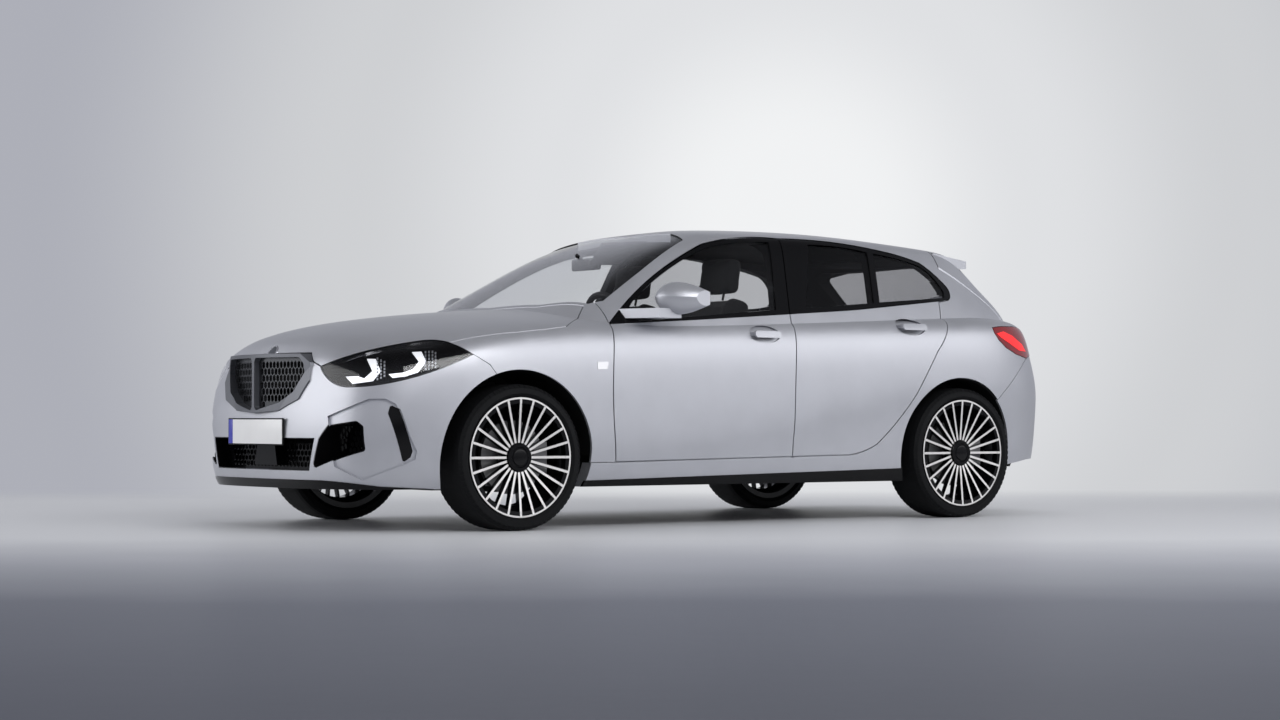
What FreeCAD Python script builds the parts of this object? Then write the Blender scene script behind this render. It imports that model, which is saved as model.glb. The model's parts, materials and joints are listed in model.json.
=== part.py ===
"""Five-door hatchback car, an assembly of separate pieces.

Millimetres. +X points forward, +Y to the left and +Z up. The origin is on the ground, at mid-length and mid-width.
The body's outer form is two skins, one below the belt and one for the greenhouse, each a smooth surface through a
grid of hand-chosen shares. Every panel is a wall between that form and the same form set inwards, cut along its
shut lines. The left half is modelled and mirrored.
"""
import FreeCAD, Part
import math
import os
import Sketcher

from FreeCAD import Placement, Rotation, Vector

os.makedirs("parts", exist_ok=True)
doc = FreeCAD.newDocument("Hatchback")

# Driving sizes, in millimetres and degrees
SIZES = {
    # whole car
    "wheelbase": 2670,
    "front_overhang": 856,
    "rear_overhang": 814,
    "body_width": 1798,
    "roof_height": 1452,
    "sill_height": 190,
    # body walls and gaps
    "door_thickness": 80,
    "pillar_thickness": 52,
    "skin_thickness": 14,
    "flange_step": 26,
    "shut_gap": 6,
    "seam_gap": 3,
    "bonnet_thickness": 24,
    "roof_thickness": 28,
    "tailgate_thickness": 40,
    "window_round": 40,
    "lamp_proud": 2,
    "lens_inset": 2,
    "lamp_depth": 95,
    "glass_inset": 4,
    "glass_thickness": 5,
    "overrun": 60,
    "seat_clearance": 0.3,
    # ends of the body
    "nose_rake": 88,
    "tail_rake": 110,
    "floor_thickness": 30,
    # wheels
    "wheel_track": 1564,
    "tyre_radius": 327,
    "tyre_width": 238,
    "rim_radius": 268,
    "rim_width": 222,
    "rim_wall": 9,
    "rim_well_depth": 24,
    "spoke_thickness": 11,
    "spoke_count": 24,
    "hub_radius": 66,
    "hub_bore": 36,
    "mount_face_offset": 45,
    "disc_radius": 165,
    "disc_thickness": 24,
    "disc_hat_radius": 82,
    "disc_offset": 26,
    "front_arch_radius": 392,
    "rear_arch_radius": 375,
    "rear_arch_shift": 8,
    "liner_thickness": 5,
    "kingpin_spread": 1440,
    "upright_height": 260,
    "upright_length": 120,
    "upright_thickness": 56,
    # glass and doors
    "mirror_reach": 185,
    "mirror_height": 135,
    "mirror_depth": 125,
    "mirror_foot": 44,
    "handle_length": 156,
    "handle_height": 32,
    "handle_standoff": 14,
    "handle_thickness": 11,
    "handle_dish_height": 86,
    "handle_dish_depth": 9,
    # grille, intakes and trims
    "grille_proud": 6,
    "grille_depth": 34,
    "grille_round": 16,
    "mesh_thickness": 5,
    "mesh_bar": 5,
    "mesh_cell_width": 25,
    "mesh_cell_height": 40,
    "mesh_rim": 9,
    "intake_wall": 4,
    "intake_cell": 34,
    "centre_intake_depth": 110,
    "outer_intake_depth": 200,
    "corner_recess": 12,
    "curtain_depth": 10,
    "trim_proud": 3,
    # structure under the skin
    "rail_thickness": 40,
    "wing_wall_spread": 952,
    "rear_wall_spread": 1280,
    "tunnel_width": 240,
    "tunnel_height": 150,
    "bulkhead_thickness": 30,
    "bulkhead_reach": 500,
    "undertray_thickness": 6,
    "arm_thickness": 26,
    "strut_radius": 26,
    "spring_radius": 56,
    "strut_spread": 1140,
    "pipe_radius": 28,
    "tailpipe_radius": 40,
    "tailpipe_wall": 3,
    "tailpipe_spread": 1000,
    "tailpipe_inset": 50,
    "tailpipe_rise": 128,
    "exhaust_rise": 12,
    "silencer_length": 220,
    "silencer_height": 190,
    # power unit
    "engine_length": 520,
    "engine_width": 620,
    "engine_height": 520,
    "engine_floor": 240,
    # cabin
    "seat_width": 500,
    "seat_spread": 740,
    "seat_cushion": 130,
    "seat_back": 120,
    "seat_height": 330,
    # steering wheel
    "steering_radius": 182,
    "steering_rim": 15,
    "steering_rake": 24,
    "column_radius": 26,
}

sheet = doc.addObject("Spreadsheet::Sheet", "Sizes")
for row, (name, value) in enumerate(SIZES.items(), start=1):
    sheet.set("A%d" % row, name)
    sheet.set("B%d" % row, str(value))
    sheet.setAlias("B%d" % row, name)
doc.recompute()


def size(name):
    """Read one driving size from the spreadsheet."""
    return float(sheet.get(name))


HALF_WIDTH = size("body_width") / 2
ROOF = size("roof_height")
SILL = size("sill_height")
GAP = size("shut_gap")
OVERRUN = size("overrun")
HALF_LENGTH = (size("wheelbase") + size("front_overhang") + size("rear_overhang")) / 2
NOSE = HALF_LENGTH
TAIL = -HALF_LENGTH
FRONT_AXLE = NOSE - size("front_overhang")
REAR_AXLE = TAIL + size("rear_overhang")
WHEEL_Y = size("wheel_track") / 2
WHEEL_Z = size("tyre_radius")


def along(station, nose=NOSE, tail=TAIL):
    """X of a station share: 0 at the nose, 1 at the front axle, 2 at the rear axle and 3 at the tail."""
    if station <= 1:
        return nose + (FRONT_AXLE - nose) * station
    if station <= 2:
        return FRONT_AXLE + (REAR_AXLE - FRONT_AXLE) * (station - 1)
    return REAR_AXLE + (tail - REAR_AXLE) * (station - 2)


# The skin below the belt: station, width share, shoulder height share, crown station, crown height share
SHOULDER_SHARES = [
    (0.000, 0.000, 0.550, 0.21, 0.606),
    (0.000, 0.289, 0.550, 0.25, 0.615),
    (0.035, 0.600, 0.544, 0.32, 0.628),
    (0.164, 0.822, 0.541, 0.44, 0.646),
    (0.386, 0.944, 0.559, 0.62, 0.663),
    (0.700, 0.992, 0.596, 0.85, 0.679),
    (1.000, 1.000, 0.623, 1.03, 0.692),
    (1.140, 0.998, 0.647, 1.15, 0.709),
    (1.340, 0.994, 0.660, 1.34, 0.716),
    (1.530, 0.994, 0.669, 1.53, 0.720),
    (1.750, 0.997, 0.682, 1.75, 0.720),
    (2.000, 1.003, 0.696, 2.00, 0.723),
    (2.360, 0.992, 0.701, 2.30, 0.723),
    (2.680, 0.932, 0.696, 2.60, 0.716),
    (2.877, 0.800, 0.678, 2.75, 0.703),
    (2.975, 0.620, 0.668, 2.86, 0.689),
    (3.000, 0.333, 0.664, 2.93, 0.678),
    (3.000, 0.000, 0.664, 2.96, 0.672),
]
# From sill to shoulder: height share, width share, share of the nose rake, share of the tail rake
SIDE_SHARES = [
    (0.00, 0.930, 0.34, 0.55),
    (0.06, 0.955, 0.14, 0.23),
    (0.18, 0.972, 0.05, 0.07),
    (0.38, 0.997, 0.00, 0.09),
    (0.60, 1.000, 0.14, 0.00),
    (0.80, 0.996, 0.43, 0.55),
    (0.93, 0.975, 0.70, 0.77),
    (1.00, 0.925, 1.00, 1.00),
]
# The crease along the lower doors, for each station above: its height share and half its spread
CREASE_SHARES = [
    (0.28, 0.10), (0.28, 0.10), (0.28, 0.10), (0.28, 0.10), (0.28, 0.10), (0.26, 0.10), (0.23, 0.07), (0.205, 0.045),
    (0.225, 0.040), (0.262, 0.040), (0.400, 0.045), (0.490, 0.070), (0.440, 0.100), (0.380, 0.110), (0.300, 0.110),
    (0.280, 0.100), (0.280, 0.100), (0.280, 0.100),
]
CREASE_ROWS = {2: -1, 3: 1}
# From shoulder to centre line: width share, length share, height share
CROWN_SHARES = [(0.80, 0.20, 0.45), (0.50, 0.50, 0.79), (0.25, 0.97, 0.99), (0.00, 1.00, 1.00)]

# The greenhouse round its side: length share behind the windscreen's centre, width share, roof height share
ROUND_SHARES = [
    (0.000, 0.000, 0.968),
    (0.000, 0.340, 0.970),
    (0.012, 0.660, 0.975),
    (0.035, 0.880, 0.981),
    (0.100, 0.985, 0.989),
    (0.220, 1.000, 0.996),
    (0.360, 1.000, 1.000),
    (0.500, 1.000, 1.000),
    (0.640, 0.995, 0.992),
    (0.780, 0.970, 0.972),
    (0.900, 0.900, 0.949),
    (0.970, 0.760, 0.934),
    (1.000, 0.500, 0.924),
    (1.000, 0.250, 0.918),
    (1.000, 0.000, 0.914),
]
# The greenhouse from belt to roof edge: height share, width share, windscreen station, rear screen station
PILLAR_SHARES = [
    (0.585, 0.979, 1.028, 2.890),
    (0.654, 0.932, 1.095, 2.872),
    (0.730, 0.879, 1.166, 2.828),
    (0.813, 0.818, 1.249, 2.668),
    (0.895, 0.760, 1.335, 2.545),
    (0.947, 0.712, 1.402, 2.459),
    (0.968, 0.656, 1.436, 2.410),
]
# From roof edge to centre line: width share, length share, height share
ROOF_SHARES = [(0.75, 0.25, 0.45), (0.45, 0.55, 0.80), (0.20, 0.97, 1.00), (0.00, 1.00, 1.00)]
ROOF_STATION_SHARES = (1.470, 2.300)
ROOF_RISE_SHARE = 0.007
# The roof's edge falls towards the rear: height shares where that begins and is full, and the fall itself
REAR_FALL_SHARES = (0.720, 0.947, 0.026)
# How much further a sloping screen moves along X for a wall of the same thickness
SCREEN_SLOPE_SHARES = (1.6, 1.3)


def skin(poles):
    """A smooth surface through a grid of poles, clamped at its edges."""
    rows = len(poles)
    columns = len(poles[0])
    row_knots = [float(i) for i in range(rows - 2)]
    column_knots = [float(i) for i in range(columns - 2)]
    row_mults = [4] + [1] * (rows - 4) + [4]
    column_mults = [4] + [1] * (columns - 4) + [4]
    surface = Part.BSplineSurface()
    surface.buildFromPolesMultsKnots(
        poles, row_mults, column_mults, row_knots, column_knots, False, False, 3, 3
    )
    return surface.toShape()


def half_solid(face):
    """Close a half skin with its mid plane and its flat bottom."""
    def middle(edge):
        return edge.valueAt((edge.FirstParameter + edge.LastParameter) / 2)

    tolerance = 1e-6
    mid_edges = [edge for edge in face.Edges if abs(middle(edge).y) < tolerance]
    low_edges = [edge for edge in face.Edges if abs(middle(edge).y) > tolerance]
    ends = sorted([v.Point for edge in low_edges for v in edge.Vertexes], key=lambda point: point.x)
    floor_line = Part.makeLine(ends[0], ends[-1])
    mid_face = Part.Face(Part.Wire(Part.__sortEdges__(mid_edges + [floor_line])))
    low_face = Part.Face(Part.Wire(Part.__sortEdges__(low_edges + [floor_line])))
    shell = Part.Shell([face, mid_face, low_face])
    shell.sewShape()
    solid = Part.Solid(shell)
    if solid.Volume < 0:
        solid.reverse()
    return solid


def lower_form(inset):
    """The left half of the body below the belt, set inwards by a wall."""
    nose = NOSE - inset
    tail = TAIL + inset
    poles = []
    for (station, width, shoulder, crown_station, crown), (crease, spread) in zip(SHOULDER_SHARES, CREASE_SHARES):
        line = []
        top = shoulder * ROOF - inset
        for row, (high, wide, nose_share, tail_share) in enumerate(SIDE_SHARES):
            if row in CREASE_ROWS:
                high = crease + CREASE_ROWS[row] * spread
            x = along(station, nose - nose_share * size("nose_rake"), tail + tail_share * size("tail_rake"))
            line.append(Vector(x, (HALF_WIDTH - inset) * wide * width, SILL + high * (top - SILL)))
        edge = line[-1]
        centre = Vector(along(crown_station, nose, tail), 0, crown * ROOF - inset)
        for wide, long, high in CROWN_SHARES:
            x = edge.x + (centre.x - edge.x) * long
            line.append(Vector(x, edge.y * wide, edge.z + (centre.z - edge.z) * high))
        poles.append(line)
    return half_solid(skin(poles))


def upper_form(inset):
    """The left half of the greenhouse, set inwards by a wall."""
    front_slope, rear_slope = SCREEN_SLOPE_SHARES
    poles = []
    for long_share, width, roof_share in ROUND_SHARES:
        line = []
        for number, (high, wide, front_station, rear_station) in enumerate(PILLAR_SHARES):
            front = along(front_station) - inset * front_slope
            rear = along(rear_station) + inset * rear_slope
            drop = inset if number >= len(PILLAR_SHARES) - 2 else 0
            y = (HALF_WIDTH * wide - inset) * width
            weight = min(1, max(0, (high - REAR_FALL_SHARES[0]) / (REAR_FALL_SHARES[1] - REAR_FALL_SHARES[0])))
            fall = REAR_FALL_SHARES[2] * weight * max(0, 2 * long_share - 1)
            line.append(Vector(front + (rear - front) * long_share, y, (high - fall) * ROOF - drop))
        edge = line[-1]
        front = along(ROOF_STATION_SHARES[0]) - inset
        rear = along(ROOF_STATION_SHARES[1]) + inset
        x = front + (rear - front) * long_share
        centre = Vector(x, 0, (roof_share + ROOF_RISE_SHARE) * ROOF - inset)
        for wide, long, high in ROOF_SHARES:
            place = edge.x + (centre.x - edge.x) * long
            line.append(Vector(place, edge.y * wide, edge.z + (centre.z - edge.z) * high))
        poles.append(line)
    return half_solid(skin(poles))


forms = {}


def lower(inset=0.0):
    """The lower form at an inset, made once."""
    key = ("lower", inset)
    if key not in forms:
        forms[key] = lower_form(inset)
    return forms[key]


def upper(inset=0.0):
    """The greenhouse form at an inset, made once."""
    key = ("upper", inset)
    if key not in forms:
        forms[key] = upper_form(inset)
    return forms[key]


def body_form(low_inset=0.0, high_inset=None):
    """The whole left half of the body, both forms joined."""
    if high_inset is None:
        high_inset = low_inset
    key = ("body", low_inset, high_inset)
    if key not in forms:
        forms[key] = lower(low_inset).fuse(upper(high_inset))
    return forms[key]


def mirrored(shape):
    """The same shape on the right-hand side."""
    return shape.mirror(Vector(0, 0, 0), Vector(0, 1, 0))


def joined(half, merge_faces=True):
    """A half and its mirror image as one solid across the centre line."""
    whole = half.fuse(mirrored(half))
    return whole.removeSplitter() if merge_faces else whole


def pair(half):
    """A left piece and its right twin, apart."""
    return Part.makeCompound(solids(half) + solids(mirrored(half)))


def solids(shape):
    """The solids of a shape, without slivers under a share of the largest."""
    found = shape.Solids
    if not found:
        return []
    largest = max(solid.Volume for solid in found)
    return [solid for solid in found if solid.Volume > largest * SLIVER_SHARE]


SLIVER_SHARE = 0.02


def one(shape):
    """The largest solid of a shape."""
    return max(shape.Solids, key=lambda solid: solid.Volume)


def edge_through(points):
    """A line through two points or an arc through three."""
    if len(points) == 2:
        return Part.makeLine(points[0], points[1])
    return Part.Arc(points[0], points[1], points[2]).toShape()


def grown(wire, grow):
    """An outline moved outwards, or inwards where the amount is negative."""
    return wire.makeOffset2D(grow, TANGENT_JOIN) if grow else wire


TANGENT_JOIN = 1
ROUND_JOIN = 0


def rounded(wire, radius):
    """An outline with its outward corners rounded."""
    return wire.makeOffset2D(-radius, TANGENT_JOIN).makeOffset2D(radius, ROUND_JOIN)


def polygon(points):
    """A closed outline through corners."""
    return Part.makePolygon(points + points[:1])


def side_wire(runs):
    """A closed outline in side view from runs of (station, roof height share)."""
    return Part.Wire([edge_through([Vector(along(s), 0, z * ROOF) for s, z in run]) for run in runs])


def side_polygon(corners):
    """A closed outline in side view with straight runs."""
    return polygon([Vector(along(s), 0, z * ROOF) for s, z in corners])


def plan_polygon(corners):
    """A closed outline in plan from corners (station, half width share), under the car."""
    return polygon([Vector(along(s), y * HALF_WIDTH, SILL - 2 * OVERRUN) for s, y in corners])


def end_polygon(corners, x=0.0):
    """A closed outline across the car from corners (half width share, roof height share)."""
    return polygon([Vector(x, y * HALF_WIDTH, z * ROOF) for y, z in corners])


def across(wire, grow=0.0):
    """Push a side view outline through the left half of the body."""
    return Part.Face(grown(wire, grow)).extrude(Vector(0, HALF_WIDTH + OVERRUN, 0))


def upward(wire, grow=0.0):
    """Push a plan outline up through the body."""
    return Part.Face(grown(wire, grow)).extrude(Vector(0, 0, ROOF + 3 * OVERRUN))


def forward(wire, length=None, grow=0.0):
    """Push an outline across the car along it, ahead or with a negative length behind."""
    return Part.Face(grown(wire, grow)).extrude(Vector(HALF_LENGTH + OVERRUN if length is None else length, 0, 0))


def block(x0, x1, y0, y1, z0, z1):
    """A box between two corners, given in any order."""
    low = Vector(min(x0, x1), min(y0, y1), min(z0, z1))
    return Part.makeBox(abs(x1 - x0), abs(y1 - y0), abs(z1 - z0), low)


def keep(label, shape):
    """Put a finished shape in the document under its own name."""
    feature = doc.addObject("Part::Feature", label)
    feature.Label = label
    feature.Shape = shape
    PARTS.append(feature)
    return feature


PARTS = []

# Shut lines of the left side
FRONT_DOOR_SHARES = [
    [(1.198, 0.640), (1.330, 0.813), (1.451, 0.923)],
    [(1.451, 0.923), (1.530, 0.950), (1.634, 0.956)],
    [(1.634, 0.956), (1.603, 0.702)],
    [(1.603, 0.702), (1.592, 0.482), (1.593, 0.219)],
    [(1.593, 0.219), (1.200, 0.208)],
    [(1.200, 0.208), (1.188, 0.448), (1.198, 0.640)],
]
REAR_DOOR_SHARES = [
    [(1.634, 0.956), (1.762, 0.953), (1.878, 0.930)],
    [(1.878, 0.930), (1.930, 0.914), (1.973, 0.894)],
    [(1.973, 0.894), (2.017, 0.854), (2.093, 0.813)],
    [(2.093, 0.813), (2.103, 0.789), (2.060, 0.763)],
    [(2.060, 0.763), (1.990, 0.754)],
    [(1.990, 0.754), (1.970, 0.654), (1.938, 0.579)],
    [(1.938, 0.579), (1.885, 0.434)],
    [(1.885, 0.434), (1.840, 0.334), (1.794, 0.258)],
    [(1.794, 0.258), (1.754, 0.230), (1.707, 0.222)],
    [(1.707, 0.222), (1.593, 0.219)],
    [(1.593, 0.219), (1.592, 0.482), (1.603, 0.702)],
    [(1.603, 0.702), (1.634, 0.956)],
]
FRONT_GLASS_SHARES = [
    [(1.261, 0.656), (1.252, 0.704)],
    [(1.252, 0.704), (1.335, 0.807), (1.453, 0.908)],
    [(1.453, 0.908), (1.526, 0.933), (1.604, 0.941)],
    [(1.604, 0.941), (1.573, 0.707)],
    [(1.573, 0.707), (1.261, 0.656)],
]
REAR_GLASS_SHARES = [
    [(1.645, 0.716), (1.697, 0.939)],
    [(1.697, 0.939), (1.769, 0.938), (1.839, 0.923)],
    [(1.839, 0.923), (1.816, 0.742)],
    [(1.816, 0.742), (1.645, 0.716)],
]
QUARTER_GLASS_SHARES = [
    [(1.831, 0.745), (1.854, 0.919)],
    [(1.854, 0.919), (1.912, 0.906), (1.968, 0.884)],
    [(1.968, 0.884), (1.998, 0.844), (2.048, 0.792)],
    [(2.048, 0.792), (2.036, 0.771)],
    [(2.036, 0.771), (1.831, 0.745)],
]
BELT_SHARES = [(1.198, 0.640), (1.393, 0.665), (1.612, 0.690), (1.776, 0.716), (2.060, 0.762)]
WINDSCREEN_SHARES = [
    (1.150, 0.000),
    (1.159, 0.451),
    (1.191, 0.754),
    (1.215, 0.789),
    (1.311, 0.723),
    (1.428, 0.634),
    (1.447, 0.445),
    (1.453, 0.000),
]
BONNET_SIDE_SHARES = [
    (-0.040, -0.050),
    (-0.040, 0.580),
    (0.526, 0.890),
    (0.629, 0.900),
    (0.863, 0.920),
    (1.011, 0.932),
    (1.061, 0.932),
    (1.108, 0.921),
    (1.144, 0.840),
    (1.182, 0.751),
    (1.151, 0.451),
    (1.142, 0.000),
    (1.142, -0.050),
]
# The bonnet's leading edge in front view: half width share, roof height share
BONNET_NOSE_SHARES = [
    (-0.050, 0.548),
    (0.378, 0.546),
    (0.435, 0.518),
    (0.504, 0.504),
    (0.667, 0.492),
    (0.890, 0.513),
    (1.060, 0.539),
    (1.060, 0.800),
    (-0.050, 0.800),
]
# The headlamp's outline, in arcs: station, half width share, roof height share
HEADLAMP_SHARES = [
    [(0.100, 0.504, 0.502), (0.217, 0.683, 0.542), (0.512, 0.813, 0.581)],
    [(0.512, 0.813, 0.581), (0.615, 0.884, 0.577), (0.722, 0.968, 0.539)],
    [(0.722, 0.968, 0.539), (0.418, 0.922, 0.471), (0.134, 0.699, 0.439)],
    [(0.134, 0.699, 0.439), (0.103, 0.602, 0.457), (0.100, 0.504, 0.502)],
]
# Side view of the front bumper: behind and above its seam is the wing
BUMPER_SEAM_SHARES = [
    (0.722, 0.539),
    (0.813, 0.508),
    (0.847, 0.482),
    (0.876, 0.448),
    (0.876, 0.060),
    (-0.090, 0.060),
    (-0.090, 0.580),
    (0.134, 0.580),
    (0.134, 0.485),
]
REAR_BUMPER_SHARES = [
    (2.300, 0.170),
    (2.300, 0.400),
    (2.370, 0.436),
    (2.590, 0.540),
    (2.640, 0.557),
    (2.700, 0.570),
    (3.100, 0.570),
    (3.100, 0.206),
    (2.680, 0.198),
    (2.480, 0.184),
]
# The grille in front view, at its root and at its face, and one of its two openings: half width share, roof height share
GRILLE_SHARES = [
    (-0.050, 0.562), (0.373, 0.562), (0.440, 0.520), (0.469, 0.446), (0.416, 0.393), (0.245, 0.362), (-0.050, 0.354),
]
GRILLE_FACE_SHARES = [
    (-0.050, 0.543), (0.368, 0.543), (0.424, 0.514), (0.434, 0.478), (0.376, 0.411), (0.215, 0.371), (-0.050, 0.360),
]
# Stations of the grille's root and of its farthest face plane
GRILLE_STATION_SHARES = (0.130, -0.024)
# The grille's bowed face in plan: station at its middle, station and half width share at its end
GRILLE_BOW_SHARES = (-0.014, 0.094, 0.469)
KIDNEY_SHARES = [
    (0.012, 0.522), (0.024, 0.534), (0.370, 0.533), (0.396, 0.514), (0.404, 0.486), (0.340, 0.427), (0.228, 0.393),
    (0.030, 0.370), (0.012, 0.380),
]
# Where the plane of a grille mesh passes: station, half width share, roof height share
MESH_POINT_SHARES = [(0.018, 0.016, 0.380), (0.095, 0.404, 0.380), (0.018, 0.016, 0.530)]
CENTRE_INTAKE_SHARES = [(-0.050, 0.286), (0.540, 0.286), (0.490, 0.186), (-0.050, 0.186)]
OUTER_INTAKE_SHARES = [(0.624, 0.326), (0.756, 0.338), (0.784, 0.322), (0.788, 0.247), (0.511, 0.189), (0.566, 0.284)]
# A flat cover in the middle of the centre intake
COVER_SHARES = [(-0.050, 0.286), (0.085, 0.286), (0.120, 0.200), (-0.050, 0.200)]
# The recess and the air slot at each front corner: station, half width share, roof height share
CORNER_SHARES = [
    (0.096, 0.600, 0.352), (0.204, 0.809, 0.404), (0.270, 0.862, 0.404), (0.314, 0.890, 0.388), (0.419, 0.920, 0.247),
    (0.412, 0.914, 0.222), (0.363, 0.891, 0.206), (0.193, 0.766, 0.159), (0.110, 0.640, 0.200),
]
AIR_SLOT_SHARES = [(0.296, 0.386), (0.333, 0.373), (0.403, 0.247), (0.395, 0.228), (0.362, 0.212), (0.285, 0.360)]
# Side views of the black trims: the splitter's top edge and the sill strip's
SPLITTER_SHARES = [(-0.100, 0.160), (0.070, 0.158), (0.267, 0.140), (0.560, 0.130), (0.560, 0.090), (-0.100, 0.090)]
SILL_STRIP_SHARES = [(1.050, 0.147), (1.520, 0.163), (1.960, 0.178), (1.960, 0.090), (1.050, 0.090)]
# The black valance under the rear bumper, in rear view
VALANCE_SHARES = [(-0.050, 0.232), (0.520, 0.232), (0.490, 0.168), (-0.050, 0.168)]
TAIL_LAMP_SHARES = [
    (2.308, 0.666),
    (2.386, 0.671),
    (2.566, 0.673),
    (2.914, 0.657),
    (2.914, 0.590),
    (2.640, 0.562),
    (2.512, 0.575),
    (2.407, 0.597),
    (2.344, 0.623),
    (2.312, 0.648),
]
# The tailgate seen from behind: half width share, roof height share
TAILGATE_SHARES = [
    (-0.050, 1.040),
    (0.664, 1.040),
    (0.709, 0.873),
    (0.723, 0.758),
    (0.734, 0.620),
    (0.743, 0.582),
    (0.712, 0.496),
    (0.667, 0.475),
    (-0.050, 0.475),
]
REAR_WINDOW_SHARES = [(-0.050, 0.905), (0.530, 0.900), (0.600, 0.880), (0.625, 0.765), (0.590, 0.748), (-0.050, 0.740)]
HATCH_FRONT_SHARE = 2.092
ROOF_EDGE_SHARE = 0.623


def front_arch(radius, inner, outer):
    """A cylinder across the front wheel's arch on the left side."""
    base = Vector(FRONT_AXLE, inner, WHEEL_Z)
    return Part.makeCylinder(radius, outer - inner, base, Vector(0, 1, 0))


def rear_arch(radius, inner, outer):
    """A cylinder across the rear wheel's arch on the left side."""
    base = Vector(REAR_AXLE + size("rear_arch_shift"), inner, WHEEL_Z)
    return Part.makeCylinder(radius, outer - inner, base, Vector(0, 1, 0))


DOOR_T = size("door_thickness")
PILLAR_T = size("pillar_thickness")
SKIN_T = size("skin_thickness")
STEP = size("flange_step")
OUTER = HALF_WIDTH + OVERRUN
FRONT_LINER_Y = 480
REAR_LINER_Y = 640

SEAM = size("seam_gap")
TOUCH = size("seat_clearance")
BONNET_T = size("bonnet_thickness")
TAILGATE_T = size("tailgate_thickness")
LAMP_PROUD = size("lamp_proud")
LENS_INSET = size("lens_inset")
LAMP_DEPTH = size("lamp_depth")

front_door_wire = side_wire(FRONT_DOOR_SHARES)
rear_door_wire = side_wire(REAR_DOOR_SHARES)
front_glass_wire = side_wire(FRONT_GLASS_SHARES)
rear_glass_wire = side_wire(REAR_GLASS_SHARES)
quarter_glass_wire = side_wire(QUARTER_GLASS_SHARES)
windscreen_wire = plan_polygon(WINDSCREEN_SHARES)
bonnet_plan_wire = plan_polygon(BONNET_SIDE_SHARES)
bonnet_nose_wire = end_polygon(BONNET_NOSE_SHARES)
hatch_front = along(HATCH_FRONT_SHARE)
tailgate_wire = end_polygon(TAILGATE_SHARES, hatch_front)


# Doors
def door(wire, glass_wires):
    """A door: an outer panel with a return flange, stepped in behind it, and a frame round its windows."""
    panel = body_form().common(across(wire, -GAP / 2)).cut(body_form(SKIN_T))
    inner = body_form(SKIN_T).common(across(wire, -GAP / 2 - STEP)).cut(body_form(DOOR_T, PILLAR_T))
    shape = panel.fuse(inner)
    for glass in glass_wires:
        shape = shape.cut(across(glass))
    return one(shape)


def door_pocket(wire):
    """What a door takes out of the body side, with a raised seal left for its flange to close on."""
    flange = across(wire, GAP / 2).cut(body_form(SKIN_T + GAP))
    seal = across(wire, -GAP).cut(across(wire, -GAP - SEAL_WIDTH)).common(body_form(SKIN_T + TOUCH))
    return flange.cut(seal).fuse(across(wire, GAP / 2 - STEP))


def side_glass(wires):
    """The panes of one door."""
    inset = size("glass_inset")
    shell = upper(inset).cut(upper(inset + size("glass_thickness")))
    return Part.makeCompound([one(shell.common(across(wire))) for wire in wires])


def with_handle(shape, station, height):
    """A door with a handle bar on two feet over a dished recess."""
    centre = Vector(along(station), 0, height * ROOF)
    half = size("handle_length") / 2
    tall = size("handle_height") / 2
    standoff = size("handle_standoff")
    dish_half = size("handle_dish_height") / 2
    dish = Part.Ellipse(centre, half + tall, dish_half)
    dish_wire = Part.Wire([dish.toShape()])
    dish_wire.rotate(centre, Vector(1, 0, 0), 90)
    recess = Part.Face(dish_wire).extrude(Vector(0, OUTER, 0)).cut(lower(size("handle_dish_depth")))
    bar_box = block(centre.x - half, centre.x + half, 0, OUTER, centre.z - tall, centre.z + tall)
    edges = [edge for edge in bar_box.Edges if abs(edge.tangentAt(edge.FirstParameter).y) > 0.9]
    bar_box = bar_box.makeFillet(tall * 0.9, edges)
    bar = lower(-standoff - size("handle_thickness")).cut(lower(-standoff)).common(bar_box)
    feet = [
        block(centre.x + side * half, centre.x + side * (half - 2 * tall), 0, OUTER, centre.z - tall / 2, centre.z + tall / 2)
        for side in (-1, 1)
    ]
    foot_wall = lower(-standoff - size("handle_thickness") / 2).cut(lower(size("handle_dish_depth") + INTAKE_FOOT))
    return one(shape.cut(recess).fuse([bar] + [foot_wall.common(foot) for foot in feet]))


SEAL_WIDTH = 10
INTAKE_FOOT = 3
FRONT_HANDLE_SHARES = (1.527, 0.622)
REAR_HANDLE_SHARES = (1.880, 0.660)
front_door = with_handle(door(front_door_wire, [front_glass_wire]), *FRONT_HANDLE_SHARES)
rear_door = with_handle(door(rear_door_wire, [rear_glass_wire, quarter_glass_wire]), *REAR_HANDLE_SHARES)
front_glass = side_glass([front_glass_wire])
rear_glass = side_glass([rear_glass_wire, quarter_glass_wire])
keep("left_front_door", front_door)
keep("right_front_door", mirrored(front_door))
keep("left_rear_door", rear_door)
keep("right_rear_door", mirrored(rear_door))
keep("left_front_glass", front_glass)
keep("right_front_glass", mirrored(front_glass))
keep("left_rear_glass", rear_glass)
keep("right_rear_glass", mirrored(rear_glass))


# Body side, with its sill, pillars and rear quarter
SIDE_REGION_SHARES = [(1.202, 1.04), (3.10, 1.04), (3.10, 0.05), (0.80, 0.05), (0.80, 0.206), (1.202, 0.206)]
ROOF_PANEL_SHARES = [(1.453, 0.0), (1.447, 0.445), (1.430, 0.623), (2.092, 0.623), (2.092, 0.0)]
roof_wire = plan_polygon(ROOF_PANEL_SHARES)
tailgate_reach = TAIL - OVERRUN - hatch_front
tailgate_space = forward(tailgate_wire, tailgate_reach, GAP).fuse(forward(tailgate_wire, GAP, GAP))
hatch_seal = forward(tailgate_wire, tailgate_reach, -GAP).cut(forward(tailgate_wire, tailgate_reach, -GAP - SEAL_WIDTH))
hatch_seal = hatch_seal.common(body_form(TAILGATE_T + TOUCH))
hatch_pocket = tailgate_space.cut(body_form(TAILGATE_T + GAP)).cut(hatch_seal)
hatch_pocket = hatch_pocket.fuse(forward(tailgate_wire, tailgate_reach, -STEP))
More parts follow.
